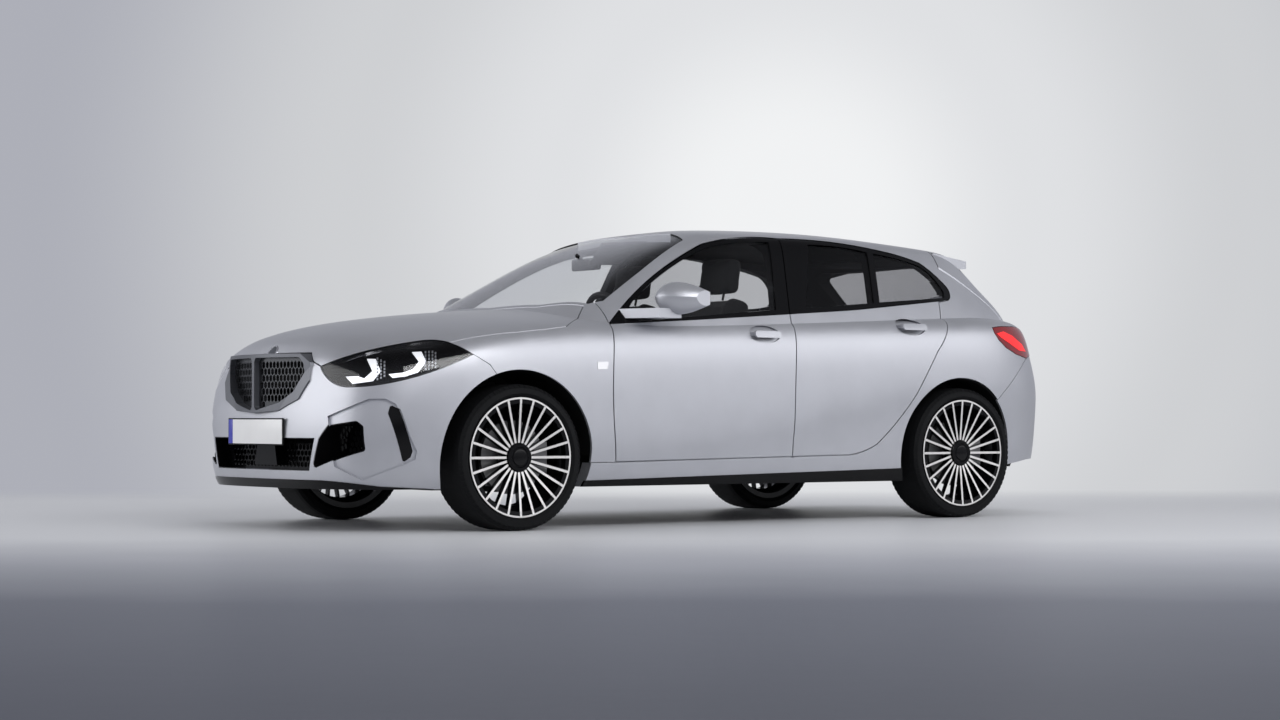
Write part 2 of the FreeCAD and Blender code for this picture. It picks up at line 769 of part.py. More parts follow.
rear_bumper_space = across(side_polygon(REAR_BUMPER_SHARES), SEAM).cut(lower(SKIN_T))
tail_lamp_wire = side_polygon(TAIL_LAMP_SHARES)
tail_lamp_space = across(tail_lamp_wire, SEAM).cut(body_form(TAILGATE_T))
REAR_PANEL_SHARES = (0.60, 0.475)
rear_panel_zone = block(
    TAIL - OVERRUN, along(2.50), 0, REAR_PANEL_SHARES[0] * HALF_WIDTH, SILL - OVERRUN, 0.60 * ROOF
)
TAIL_FLOOR_SHARE = 0.265
tail_floor_zone = block(TAIL - OVERRUN, along(2.30), 0, OUTER, 0, TAIL_FLOOR_SHARE * ROOF)
sill_strip_zone = across(side_polygon(SILL_STRIP_SHARES))
DOOR_FOOT_SHARES = (1.593, 0.219)
foot_x = along(DOOR_FOOT_SHARES[0])
foot_z = DOOR_FOOT_SHARES[1] * ROOF
door_foot = block(foot_x - 2 * GAP, foot_x + 2 * GAP, 0, OUTER, foot_z - GAP, foot_z + 3 * GAP).cut(body_form(SKIN_T + GAP))
liner = size("liner_thickness")
side_wall = body_form().cut(body_form(DOOR_T, PILLAR_T)).common(across(side_polygon(SIDE_REGION_SHARES)))
for cutter in (
    door_pocket(front_door_wire),
    door_pocket(rear_door_wire),
    door_foot,
    upward(windscreen_wire),
    upward(roof_wire),
    hatch_pocket,
    rear_bumper_space,
    tail_lamp_space,
    rear_panel_zone,
    tail_floor_zone,
    sill_strip_zone.cut(lower(SKIN_T)),
    front_arch(size("front_arch_radius") + liner, 0, OUTER),
    rear_arch(size("rear_arch_radius") + liner, 0, OUTER),
):
    side_wall = side_wall.cut(cutter)
body_side = one(side_wall)
keep("left_body_side", body_side)
keep("right_body_side", mirrored(body_side))

# Roof and windscreen
roof = joined(one(upper().cut(upper(size("roof_thickness"))).common(upward(roof_wire)).cut(tailgate_space)))
keep("roof", roof)
screen_inset = size("glass_inset")
screen_shell = upper(screen_inset).cut(upper(screen_inset + size("glass_thickness")))
windscreen = joined(one(screen_shell.common(upward(windscreen_wire)).cut(lower())))
keep("windscreen", windscreen)

# Headlamp outline, pushed in at forty-five degrees
LAMP_AIM = Vector(1, 1, 0).normalize()


def headlamp_prism(grow=0.0):
    """The headlamp's outline pushed through the corner of the nose."""
    runs = []
    for run in HEADLAMP_SHARES:
        points = [Vector(along(station), wide * HALF_WIDTH, high * ROOF) for station, wide, high in run]
        runs.append(edge_through([point - LAMP_AIM * (point.dot(LAMP_AIM) - HALF_WIDTH) for point in points]))
    reach = LAMP_AIM * (HALF_LENGTH - HALF_WIDTH + 2 * OVERRUN)
    return Part.Face(grown(Part.Wire(runs), grow)).extrude(reach)


lamp_space = headlamp_prism(SEAM / 2)

# Bonnet
bonnet_region = upward(bonnet_plan_wire, -GAP / 2).common(forward(bonnet_nose_wire, grow=-GAP / 2))
bonnet_half = body_form().cut(body_form(BONNET_T)).common(bonnet_region).cut(headlamp_prism(GAP / 2))
bonnet = joined(one(bonnet_half))
keep("bonnet", bonnet)

# Front wing and bumper
bonnet_space = upward(bonnet_plan_wire, GAP / 2).common(forward(bonnet_nose_wire, grow=GAP / 2))
FRONT_REGION_SHARES = [(1.200, 1.04), (-0.10, 1.04), (-0.10, 0.05), (0.80, 0.05), (0.80, 0.208), (1.200, 0.208)]
front_skin = body_form().cut(body_form(SKIN_T)).common(across(side_polygon(FRONT_REGION_SHARES)))
front_skin = front_skin.cut(bonnet_space).cut(lamp_space).cut(upward(windscreen_wire))
front_skin = front_skin.cut(front_arch(size("front_arch_radius"), 0, OUTER))
front_skin = front_skin.cut(across(front_door_wire, GAP / 2))
bumper_wire = side_polygon(BUMPER_SEAM_SHARES)
wing = front_skin.cut(across(bumper_wire, SEAM))
keep("front_wings", pair(one(wing)))


half_space = block(0, NOSE + OVERRUN, 0, HALF_WIDTH, 0, ROOF)


def corner_prism(shares):
    """An outline round the front corner, pushed in at forty-five degrees."""
    points = [Vector(along(station), wide * HALF_WIDTH, high * ROOF) for station, wide, high in shares]
    flat = [point - LAMP_AIM * (point.dot(LAMP_AIM) - HALF_WIDTH) for point in points]
    reach = LAMP_AIM * (HALF_LENGTH - HALF_WIDTH + 2 * OVERRUN)
    return Part.Face(polygon(flat)).extrude(reach)


INTAKE_WALL = size("intake_wall")
MESH_T = size("mesh_thickness")
grille_wire = end_polygon(GRILLE_SHARES)
kidney_wire = rounded(end_polygon(KIDNEY_SHARES), size("grille_round"))
centre_intake_wire = end_polygon(CENTRE_INTAKE_SHARES)
outer_intake_wire = rounded(end_polygon(OUTER_INTAKE_SHARES), size("grille_round"))
air_slot_wire = rounded(side_polygon(AIR_SLOT_SHARES), size("grille_round") / 2)
splitter_zone = across(side_polygon(SPLITTER_SHARES))
grille_form = Part.makeLoft([
    end_polygon(GRILLE_SHARES, along(GRILLE_STATION_SHARES[0])),
    end_polygon(GRILLE_FACE_SHARES, along(GRILLE_STATION_SHARES[1])),
], True, True)
corner_inset = size("corner_recess")
corner_space = corner_prism(CORNER_SHARES).cut(lower(corner_inset))
corner_patch = lower(corner_inset).cut(lower(SKIN_T + corner_inset / 2)).common(corner_prism(CORNER_SHARES))
bumper_half = front_skin.common(across(bumper_wire))
for cutter in (
    grille_form,
    forward(centre_intake_wire),
    forward(outer_intake_wire),
    corner_space,
    splitter_zone,
):
    bumper_half = bumper_half.cut(cutter)
bumper_half = bumper_half.fuse(corner_patch.cut(forward(outer_intake_wire)).cut(splitter_zone)).cut(across(air_slot_wire))
keep("front_bumper", joined(one(bumper_half)))


# Grille: a surround with two openings, each closed by a mesh of upright cells
def cell(y, z, wide, high):
    """One six-sided cell of a mesh, point up, as a closed outline."""
    corners = [(0, 0.5), (0.5, 0.25), (0.5, -0.25), (0, -0.5), (-0.5, -0.25), (-0.5, 0.25)]
    return polygon([Vector(0, y + v * wide, z + w * high) for v, w in corners])


def mesh_plate(wire, wide, high, bar, rim, thick):
    """A flat plate across the car with the outline of a wire and staggered cells through it."""
    outline = Part.Face(wire)
    inside = Part.Face(wire.makeOffset2D(-rim, TANGENT_JOIN))
    box = outline.BoundBox
    rise = high * 0.75
    cells = []
    rows = int(box.ZLength / rise) + 2
    columns = int(box.YLength / wide) + 2
    for row in range(rows):
        for column in range(columns):
            y = box.YMin + (column + 0.5 * (row % 2)) * wide
            z = box.ZMin + row * rise
            hole = cell(y, z, wide - bar, high - bar)
            if all(inside.isInside(vertex.Point, TOUCH, True) for vertex in hole.Vertexes):
                cells.append(hole)
    face = Part.makeFace([wire] + cells, "Part::FaceMakerBullseye")
    return face.extrude(Vector(-thick, 0, 0))


bow_x = along(GRILLE_BOW_SHARES[1])
bow_y = GRILLE_BOW_SHARES[2] * HALF_WIDTH
bow = Part.Arc(Vector(bow_x, -bow_y, 0), Vector(along(GRILLE_BOW_SHARES[0]), 0, 0), Vector(bow_x, bow_y, 0)).toShape()
bow_close = Part.makePolygon([Vector(bow_x, bow_y, 0), Vector(0, bow_y, 0), Vector(0, -bow_y, 0), Vector(bow_x, -bow_y, 0)])
bowed = Part.Face(Part.Wire([bow] + bow_close.Edges)).extrude(Vector(0, 0, ROOF))
surround = grille_form.common(bowed).fuse(grille_form.common(lower(-size("grille_proud"))))
surround = surround.cut(lower(size("grille_depth"))).cut(bonnet_space).cut(forward(kidney_wire)).common(half_space)
corners = [Vector(along(station), wide * HALF_WIDTH, high * ROOF) for station, wide, high in MESH_POINT_SHARES]
mesh_normal = (corners[1] - corners[0]).cross(corners[2] - corners[0]).normalize()
if mesh_normal.x < 0:
    mesh_normal = -mesh_normal
mesh_turn = Rotation(Vector(1, 0, 0), mesh_normal)


def on_mesh_plane(wire):
    """A front view outline laid on the plane of the grille's mesh, in that plane's own axes."""
    points = []
    for vertex in wire.OrderedVertexes:
        spot = Vector(corners[0].x, vertex.Y, vertex.Z)
        spot.x -= (spot - corners[0]).dot(mesh_normal) / mesh_normal.x
        points.append(mesh_turn.inverted().multVec(spot - corners[0]))
    return polygon([Vector(0, point.y, point.z) for point in points])


mesh_wire = on_mesh_plane(end_polygon(KIDNEY_SHARES)).makeOffset2D(size("mesh_rim") / 2, TANGENT_JOIN)
grille_mesh = mesh_plate(
    mesh_wire, size("mesh_cell_width"), size("mesh_cell_height"), size("mesh_bar"), size("mesh_rim"), MESH_T
)
grille_mesh.Placement = Placement(corners[0], mesh_turn)
mesh_blank = Part.Face(mesh_wire).extrude(Vector(-MESH_T, 0, 0))
mesh_blank.Placement = Placement(corners[0], mesh_turn)
surround = surround.cut(mesh_blank)
keep("grille_surround", joined(one(surround)))
keep("grille_mesh", pair(grille_mesh))

# Intakes: a duct behind each opening with a mesh at its end, a cover in the middle and a blade in each air slot
centre_mesh_x = NOSE - size("centre_intake_depth")
outer_mesh_x = NOSE - size("outer_intake_depth")


def duct(wire, x, centred):
    """The walls of an intake from its mesh to just inside the bumper's face."""
    tube = forward(wire).cut(forward(wire, grow=-INTAKE_WALL))
    if centred:
        tube = tube.cut(block(0, NOSE, -OVERRUN, 0, 0, ROOF))
    return tube.common(block(x - MESH_T, NOSE, 0, HALF_WIDTH, 0, ROOF)).common(lower(MESH_T / 2))


def flat_mesh(wire, x):
    """A mesh across an intake at its back."""
    plate = mesh_plate(wire, size("intake_cell"), size("intake_cell"), size("mesh_bar"), size("mesh_rim"), MESH_T)
    plate.Placement = Placement(Vector(x, 0, 0), Rotation())
    return plate


centre_mesh = flat_mesh(centre_intake_wire, centre_mesh_x).common(half_space)
cover = forward(end_polygon(COVER_SHARES), centre_mesh_x + size("centre_intake_depth") / 2)
cover = cover.common(block(centre_mesh_x - MESH_T, NOSE, 0, HALF_WIDTH, 0, ROOF))
centre_intake = duct(centre_intake_wire, centre_mesh_x, True).fuse([centre_mesh, cover])
outer_intake = duct(outer_intake_wire, outer_mesh_x, False).cut(corner_space)
outer_intake = outer_intake.fuse(flat_mesh(outer_intake_wire, outer_mesh_x))
blade = lower(size("curtain_depth")).cut(lower(SKIN_T)).common(across(air_slot_wire))
keep("intake_meshes", Part.makeCompound(
    [joined(one(centre_intake), False)] + solids(pair(one(outer_intake))) + solids(pair(one(blade)))
))


# Tailgate with its spoiler, rear window and lamps
tailgate_region = forward(tailgate_wire, tailgate_reach)
rear_window_wire = end_polygon(REAR_WINDOW_SHARES, hatch_front)
rear_window_region = forward(rounded(rear_window_wire, size("window_round")), tailgate_reach)
tailgate_half = body_form().cut(body_form(TAILGATE_T)).common(tailgate_region)
SPOILER_ROOT_SHARES = (2.110, 0.640, 0.936, 0.977, 0.060)
SPOILER_TIP_SHARES = (2.545, 0.600, 0.906, 0.942, 0.016)
SPOILER_TRIM_SHARES = (2.400, 0.70, 2.527)


def spoiler_section(station, wide, edge_high, centre_high, thick):
    """One crowned section of the roof spoiler across the car."""
    x = along(station)
    y = wide * HALF_WIDTH
    tips = [Vector(x, side * y, edge_high * ROOF) for side in (-1, 1)]
    down = Vector(0, 0, -thick * ROOF)
    crown = Vector(x, 0, centre_high * ROOF)
    top = Part.Arc(tips[0], crown, tips[1]).toShape()
    low = Part.Arc(tips[1] + down, crown + down, tips[0] + down).toShape()
    left = Part.makeLine(tips[1], tips[1] + down)
    right = Part.makeLine(tips[0] + down, tips[0])
    return Part.Wire([top, left, low, right])


spoiler = Part.makeLoft(
    [spoiler_section(*SPOILER_ROOT_SHARES), spoiler_section(*SPOILER_TIP_SHARES)], True, True
)
trim_x = along(SPOILER_TRIM_SHARES[0])
trim_y = SPOILER_TRIM_SHARES[1] * HALF_WIDTH
spoiler_trim = Part.Arc(
    Vector(trim_x, -trim_y, 0), Vector(along(SPOILER_TRIM_SHARES[2]), 0, 0), Vector(trim_x, trim_y, 0)
).toShape()
spoiler_close = Part.makePolygon([
    Vector(trim_x, trim_y, 0),
    Vector(hatch_front - GAP, trim_y, 0),
    Vector(hatch_front - GAP, -trim_y, 0),
    Vector(trim_x, -trim_y, 0),
])
spoiler_plan = Part.Face(Part.Wire([spoiler_trim] + spoiler_close.Edges)).extrude(Vector(0, 0, ROOF + OVERRUN))
spoiler = spoiler.common(spoiler_plan).cut(joined(upper(TAILGATE_T)))
tail_lamp_side = across(tail_lamp_wire)
LAMP_INNER_SHARE = 0.36
tailgate_lamp_region = tail_lamp_side.common(block(TAIL - OVERRUN, along(2.6), LAMP_INNER_SHARE * HALF_WIDTH, OUTER, 0, ROOF))
tailgate_half = one(tailgate_half.cut(rear_window_region).cut(tailgate_lamp_region))
window_space = joined(upper(size("glass_inset")).common(rear_window_region))
tailgate = joined(tailgate_half).fuse(spoiler.cut(window_space))
keep("tailgate", one(tailgate))
pane_inset = size("glass_inset")
rear_pane = upper(pane_inset).cut(upper(pane_inset + size("glass_thickness")))
rear_window = joined(one(rear_pane.common(rear_window_region)))
keep("rear_window", rear_window)

lamp_shell = body_form(-LAMP_PROUD).cut(body_form(TAILGATE_T))
tailgate_lamp = lamp_shell.common(tailgate_lamp_region).common(tailgate_region)
keep("tailgate_lamps", pair(one(tailgate_lamp)))
side_lamp = body_form(-LAMP_PROUD).cut(body_form(TAILGATE_T)).common(tail_lamp_side).cut(tailgate_space)
keep("tail_lamps", pair(one(side_lamp)))

# Rear bumper
rear_skin = lower().cut(lower(SKIN_T)).common(across(side_polygon(REAR_BUMPER_SHARES)))
rear_skin = rear_skin.cut(tailgate_space).cut(across(tail_lamp_wire, SEAM))
rear_skin = rear_skin.cut(rear_arch(size("rear_arch_radius"), 0, OUTER))
valance_zone = forward(end_polygon(VALANCE_SHARES), -HALF_LENGTH - OVERRUN)
tailpipe_y = size("tailpipe_spread") / 2
tailpipe_z = SILL + size("tailpipe_rise")
pipe_hole = Part.makeCylinder(
    size("tailpipe_radius") + GAP, HALF_WIDTH, Vector(TAIL - OVERRUN, tailpipe_y, tailpipe_z), Vector(1, 0, 0)
)
rear_skin = rear_skin.cut(valance_zone).cut(pipe_hole)
keep("rear_bumper", joined(one(rear_skin)))

# Black trims: splitter, sill strips and rear valance
TRIM = size("trim_proud")
splitter = lower(-TRIM).cut(lower(SKIN_T)).common(splitter_zone).cut(front_arch(size("front_arch_radius"), 0, OUTER))
sill_strip = lower(-TRIM).cut(lower(SKIN_T)).common(sill_strip_zone)
sill_strip = sill_strip.cut(front_arch(size("front_arch_radius"), 0, OUTER))
sill_strip = sill_strip.cut(rear_arch(size("rear_arch_radius"), 0, OUTER))
valance = lower(-TRIM).cut(lower(SKIN_T)).common(valance_zone).cut(pipe_hole)
keep("lower_trims", Part.makeCompound(
    [joined(one(splitter), False), joined(one(valance), False)] + solids(pair(one(sill_strip)))
))

# Headlamps: a dark bowl behind a clear lens
bowl_wall = size("skin_thickness") / 2
lamp_lens = lower(LENS_INSET).cut(lower(LENS_INSET + size("glass_thickness"))).common(headlamp_prism(-TOUCH))
bowl = lower(LENS_INSET + size("glass_thickness")).cut(lower(LAMP_DEPTH)).common(headlamp_prism(-TOUCH))
hollow = lower(0).cut(lower(LAMP_DEPTH - bowl_wall)).common(headlamp_prism(-TOUCH - bowl_wall))
keep("headlamp_lenses", pair(one(lamp_lens)))
keep("headlamps", pair(one(bowl.cut(hollow))))


# Wheel arch liners
def arch_liner(arch, radius, inner, outer):
    """A half-round liner over a wheel, closed towards the middle of the car."""
    shell = arch(radius + liner, inner, outer).cut(arch(radius, inner + liner, outer + liner))
    return shell.common(block(NOSE, TAIL, inner, outer, WHEEL_Z + GAP, ROOF).common(body_form(SKIN_T)))


WING_WALL = size("wing_wall_spread") / 2
REAR_WALL = size("rear_wall_spread") / 2
STRUT_Y = size("strut_spread") / 2
strut_hole = Part.makeCylinder(size("spring_radius") + GAP, ROOF, Vector(FRONT_AXLE, STRUT_Y, WHEEL_Z))
front_liner = arch_liner(front_arch, size("front_arch_radius"), WING_WALL, OUTER).cut(strut_hole)
rear_liner = arch_liner(rear_arch, size("rear_arch_radius"), REAR_WALL, OUTER)
liners = [one(front_liner), one(rear_liner)]
keep("arch_liners", Part.makeCompound(liners + [mirrored(shape) for shape in liners]))

# Floor with its tunnel and bulkhead
FLOOR_T = size("floor_thickness")
FLOOR_Z = SILL + FLOOR_T
BULKHEAD_STATION = 1.180
BOOT_STATION = 2.560
CABIN_STATION = 1.800
bulkhead_x = along(BULKHEAD_STATION)
cabin_end = along(CABIN_STATION)
boot_end = along(BOOT_STATION)
TUNNEL_HALF = size("tunnel_width") / 2
tunnel_top = FLOOR_Z + size("tunnel_height")
inner_body = body_form(DOOR_T, PILLAR_T)
well = front_arch(size("front_arch_radius") + liner, WING_WALL, OUTER)
rear_well = rear_arch(size("rear_arch_radius") + liner, REAR_WALL, OUTER)
floor_half = block(bulkhead_x, cabin_end, 0, HALF_WIDTH, SILL, FLOOR_Z)
tunnel = block(bulkhead_x, cabin_end, 0, TUNNEL_HALF, FLOOR_Z, tunnel_top)
tunnel = tunnel.cut(block(bulkhead_x, cabin_end, 0, TUNNEL_HALF - FLOOR_T / 2, SILL, tunnel_top - FLOOR_T / 2))
floor_half = floor_half.cut(block(bulkhead_x, cabin_end, 0, TUNNEL_HALF - FLOOR_T / 2, SILL, FLOOR_Z)).fuse(tunnel)
BOOT_FLOOR_SHARE = 0.330
boot_floor = block(cabin_end, TAIL, 0, HALF_WIDTH, BOOT_FLOOR_SHARE * ROOF - FLOOR_T, BOOT_FLOOR_SHARE * ROOF)
bench_riser = block(cabin_end, cabin_end + FLOOR_T, 0, HALF_WIDTH, SILL, BOOT_FLOOR_SHARE * ROOF)
bulkhead_top = 0.655 * ROOF
bulkhead = block(bulkhead_x, bulkhead_x - size("bulkhead_thickness"), 0, HALF_WIDTH, SILL, bulkhead_top)
door_space = across(front_door_wire, GAP).fuse(across(rear_door_wire, GAP)).cut(body_form(DOOR_T + GAP, PILLAR_T + GAP))
floor_half = floor_half.fuse([boot_floor, bench_riser, bulkhead]).common(inner_body)
rear_panel = lower(SKIN_T).cut(lower(DOOR_T)).common(rear_panel_zone).cut(tail_floor_zone)
rear_panel = rear_panel.cut(hatch_pocket).cut(tail_lamp_space)
tunnel_space = block(NOSE, cabin_end - OVERRUN, 0, TUNNEL_HALF - FLOOR_T / 2, SILL, tunnel_top - FLOOR_T / 2)
floor_half = floor_half.fuse(rear_panel).cut(rear_well).cut(well).cut(door_space).cut(tunnel_space)
keep("floor_pan", joined(one(floor_half)))

# Front structure: inner wings with their top rails, bumper beam and bonnet seat
RAIL_T = size("rail_thickness")
front_end = along(0.25)
wing_wall = block(bulkhead_x, front_end, WING_WALL - FLOOR_T / 2, WING_WALL, SILL + FLOOR_T, ROOF)
wing_wall = wing_wall.common(lower(BONNET_T + RAIL_T))
radiator_panel = block(front_end, front_end - FLOOR_T, 0, WING_WALL, SILL + FLOOR_T, ROOF).common(lower(BONNET_T + RAIL_T))
radiator_panel = radiator_panel.cut(block(front_end, front_end - FLOOR_T, 0, WING_WALL - RAIL_T * 2, SILL + RAIL_T * 3, 0.45 * ROOF))
rail_plan = upward(bonnet_plan_wire, RAIL_T).cut(upward(bonnet_plan_wire, -RAIL_T))
rail_zone = block(bulkhead_x, along(0.62), WING_WALL - FLOOR_T / 2, HALF_WIDTH, 0.50 * ROOF, ROOF)
rail = lower(BONNET_T + TOUCH).cut(lower(BONNET_T + RAIL_T)).common(rail_plan.common(rail_zone))
wing_seat = lower(SKIN_T).cut(lower(BONNET_T + TOUCH)).common(rail_plan.common(rail_zone)).cut(bonnet_space)
tower = block(FRONT_AXLE - 2 * RAIL_T, FRONT_AXLE + 2 * RAIL_T, WING_WALL, HALF_WIDTH, 0.50 * ROOF, 0.60 * ROOF)
tower = tower.common(lower(BONNET_T + RAIL_T)).cut(front_arch(size("front_arch_radius") + liner, 0, OUTER))
shelf = block(bulkhead_x, along(0.62), WING_WALL - FLOOR_T / 2, HALF_WIDTH, 0.53 * ROOF, 0.55 * ROOF)
shelf = shelf.common(lower(SKIN_T)).cut(front_arch(size("front_arch_radius") + liner, 0, OUTER))
beam = lower(SKIN_T).cut(lower(SKIN_T + RAIL_T)).common(block(FRONT_AXLE + 0.45 * size("front_overhang"), NOSE, 0, HALF_WIDTH * 0.5, 0.30 * ROOF, 0.35 * ROOF))
leg_y = HALF_WIDTH * 0.5
chassis_leg = block(front_end - FLOOR_T, NOSE, leg_y - 2 * FLOOR_T, leg_y, 0.30 * ROOF, 0.35 * ROOF).common(lower(SKIN_T))
front_frame = wing_wall.fuse([radiator_panel, rail, wing_seat, shelf, beam, chassis_leg]).cut(headlamp_prism(-TOUCH))
keep("front_structure", joined(one(front_frame), False))

# Power unit: one plain block
engine = doc.addObject("Part::Box", "engine_block")
engine.Label = "engine_block"
engine.setExpression("Length", "Sizes.engine_length")
engine.setExpression("Width", "Sizes.engine_width")
engine.setExpression("Height", "Sizes.engine_height")
engine.Placement = Placement(
    Vector(FRONT_AXLE - size("engine_length") / 2 + RAIL_T, -size("engine_width") / 2, size("engine_floor")), Rotation()
)
PARTS.append(engine)
engine_rear = FRONT_AXLE - size("engine_length") / 2 + RAIL_T


# Front suspension: subframe, lower arms, struts and steering rack
ARM_T = size("arm_thickness")
KINGPIN_Y = size("kingpin_spread") / 2
UPRIGHT_FOOT = WHEEL_Z - size("upright_height") / 2


def front_suspension():
    """Subframe, lower arms and struts, which stay put while the uprights turn."""
    arm_top = UPRIGHT_FOOT - TOUCH
    arm_low = arm_top - ARM_T
    arm_points = [
        Vector(FRONT_AXLE - 110, WING_WALL - 120, arm_low),
        Vector(FRONT_AXLE + 110, WING_WALL - 120, arm_low),
        Vector(FRONT_AXLE + ARM_T, KINGPIN_Y + ARM_T / 2, arm_low),
        Vector(FRONT_AXLE - ARM_T, KINGPIN_Y + ARM_T / 2, arm_low),
    ]
    arm = Part.Face(polygon(arm_points)).extrude(Vector(0, 0, ARM_T))
    frame = block(FRONT_AXLE - 140, FRONT_AXLE + 140, 0, WING_WALL - 110, arm_low, size("engine_floor"))
    strut = Part.makeCylinder(size("strut_radius"), 0.53 * ROOF - arm_top, Vector(FRONT_AXLE, STRUT_Y, arm_top))
    spring = Part.makeCylinder(size("spring_radius"), 190, Vector(FRONT_AXLE, STRUT_Y, WHEEL_Z + 150))
    return frame.fuse(arm), strut.fuse(spring)


frame, strut = front_suspension()
keep("front_suspension", joined(frame.fuse(strut)))


# Rear suspension
def rear_suspension():
    """A cross member with trailing arms, and springs up to the body."""
    beam_part = block(REAR_AXLE - 60, REAR_AXLE + 60, 0, KINGPIN_Y - size("upright_thickness") / 2, WHEEL_Z - 60, WHEEL_Z - 10)
    arm = block(REAR_AXLE, cabin_end, REAR_WALL - 60, REAR_WALL - 20, WHEEL_Z - 60, WHEEL_Z - 20)
    spring = Part.makeCylinder(size("spring_radius"), BOOT_FLOOR_SHARE * ROOF - FLOOR_T - WHEEL_Z + 10, Vector(REAR_AXLE, REAR_WALL - 120, WHEEL_Z - 10))
    return beam_part.fuse([arm, spring])


keep("rear_suspension", joined(rear_suspension()))
HUB_FACE = WHEEL_Y + size("mount_face_offset")
SPINDLE = size("hub_bore") - TOUCH


def upright():
    """A wheel carrier with its spindle and brake caliper, at the left wheel's centre."""
    t = size("upright_thickness")
    post = Part.makeBox(size("upright_length"), t, size("upright_height"), Vector(-size("upright_length") / 2, -WHEEL_Y + KINGPIN_Y - t / 2, -size("upright_height") / 2))
    spindle_length = size("mount_face_offset") + WHEEL_Y - KINGPIN_Y
    spindle = Part.makeCylinder(SPINDLE, spindle_length, Vector(0, KINGPIN_Y - WHEEL_Y, 0), Vector(0, 1, 0))
    return post.fuse(spindle)


def caliper():
    """A caliper that straddles the brake disc behind the axle."""
    disc_y = size("disc_offset") - size("disc_thickness") / 2
    inner = block(-size("disc_radius") - 12, -size("disc_radius") + 60, KINGPIN_Y - WHEEL_Y, disc_y + size("disc_thickness") + 14, -70, 70)
    slot = block(-size("disc_radius") - 5, 0, disc_y - 1 - TOUCH, disc_y + size("disc_thickness") + 1, -100, 100)
    arm = block(-size("disc_radius") + 20, 0, KINGPIN_Y - WHEEL_Y - 10, KINGPIN_Y - WHEEL_Y + 20, -30, 30)
    return inner.cut(slot).fuse(arm)


carrier = one(upright().fuse(caliper()))
front_left = Placement(Vector(FRONT_AXLE, WHEEL_Y, WHEEL_Z), Rotation())
rear_left = Placement(Vector(REAR_AXLE, WHEEL_Y, WHEEL_Z), Rotation())


def placed(shape, placement):
    """A copy of a shape at a place."""
    copy = shape.copy()
    copy.Placement = placement
    return copy


left_carrier = placed(carrier, front_left)
keep("left_front_upright", left_carrier)
keep("right_front_upright", mirrored(left_carrier))
rear_carrier = placed(carrier, rear_left)
keep("rear_uprights", Part.makeCompound([rear_carrier, mirrored(rear_carrier)]))

# Exhaust: a pipe through the tunnel to a silencer behind the rear axle, with a tailpipe on each side
PIPE_R = size("pipe_radius")
pipe_z = SILL + PIPE_R + size("exhaust_rise")
silencer_front = REAR_AXLE - size("rear_arch_radius") + OVERRUN
silencer_rear = silencer_front - size("silencer_length")
silencer_low = pipe_z
silencer_top = silencer_low + size("silencer_height")
silencer_round = size("silencer_height") / 3
silencer_wall = size("tailpipe_wall")


def silencer_shell(inset):
    """The silencer's shell, a cross box with rounded long edges, moved in by an inset."""
    half = tailpipe_y + PIPE_R - inset
    shell = block(silencer_rear + inset, silencer_front - inset, -half, half, silencer_low + inset, silencer_top - inset)
    long_edges = [edge for edge in shell.Edges if abs(edge.tangentAt(edge.FirstParameter).y) > 0.9]
    return shell.makeFillet(silencer_round - inset, long_edges)


pipe_end = silencer_front - silencer_round
pipe = Part.makeCylinder(PIPE_R, engine_rear - pipe_end, Vector(pipe_end, 0, pipe_z), Vector(1, 0, 0))
silencer = silencer_shell(0)
boot_low = BOOT_FLOOR_SHARE * ROOF - FLOOR_T
hanger = block(
    silencer_rear + PIPE_R, silencer_rear + 2 * PIPE_R, tailpipe_y - PIPE_R, tailpipe_y - PIPE_R / 2,
    silencer_top - PIPE_R, boot_low,
)
tailpipe_end = TAIL + size("tailpipe_inset")
tailpipe = Part.makeCylinder(
    size("tailpipe_radius"), silencer_rear - tailpipe_end, Vector(tailpipe_end, tailpipe_y, tailpipe_z), Vector(1, 0, 0)
)
tailpipe_bore = Part.makeCylinder(
    size("tailpipe_radius") - silencer_wall, silencer_rear - tailpipe_end + silencer_round,
    Vector(tailpipe_end, tailpipe_y, tailpipe_z), Vector(1, 0, 0),
)
exhaust = silencer.fuse([pipe, hanger, mirrored(hanger), tailpipe, mirrored(tailpipe)])
for hollow in (silencer_shell(silencer_wall), tailpipe_bore, mirrored(tailpipe_bore)):
    exhaust = exhaust.cut(hollow)
keep("exhaust", one(exhaust))


# Wheels
def rim_profile():
    """Half section of the rim barrel: radius against offset, outer side positive."""
    half = size("rim_width") / 2
    radius = size("rim_radius")
    wall = size("rim_wall")
    bead = radius - 2 * wall
    drop = bead - size("rim_well_depth")
    outer = [
        (half, radius), (half - wall, radius), (half - wall, bead), (half - 5 * wall, bead),
        (half - 8 * wall, drop), (-half + 8 * wall, drop), (-half + 5 * wall, bead), (-half + wall, bead),
        (-half + wall, radius), (-half, radius), (-half, bead - wall), (-half + 4 * wall, bead - wall),
        (-half + 8 * wall, drop - wall), (half - 8 * wall, drop - wall), (half - 4 * wall, bead - wall),
        (half, bead - wall),
    ]
    return [Vector(0, y, r) for y, r in outer]


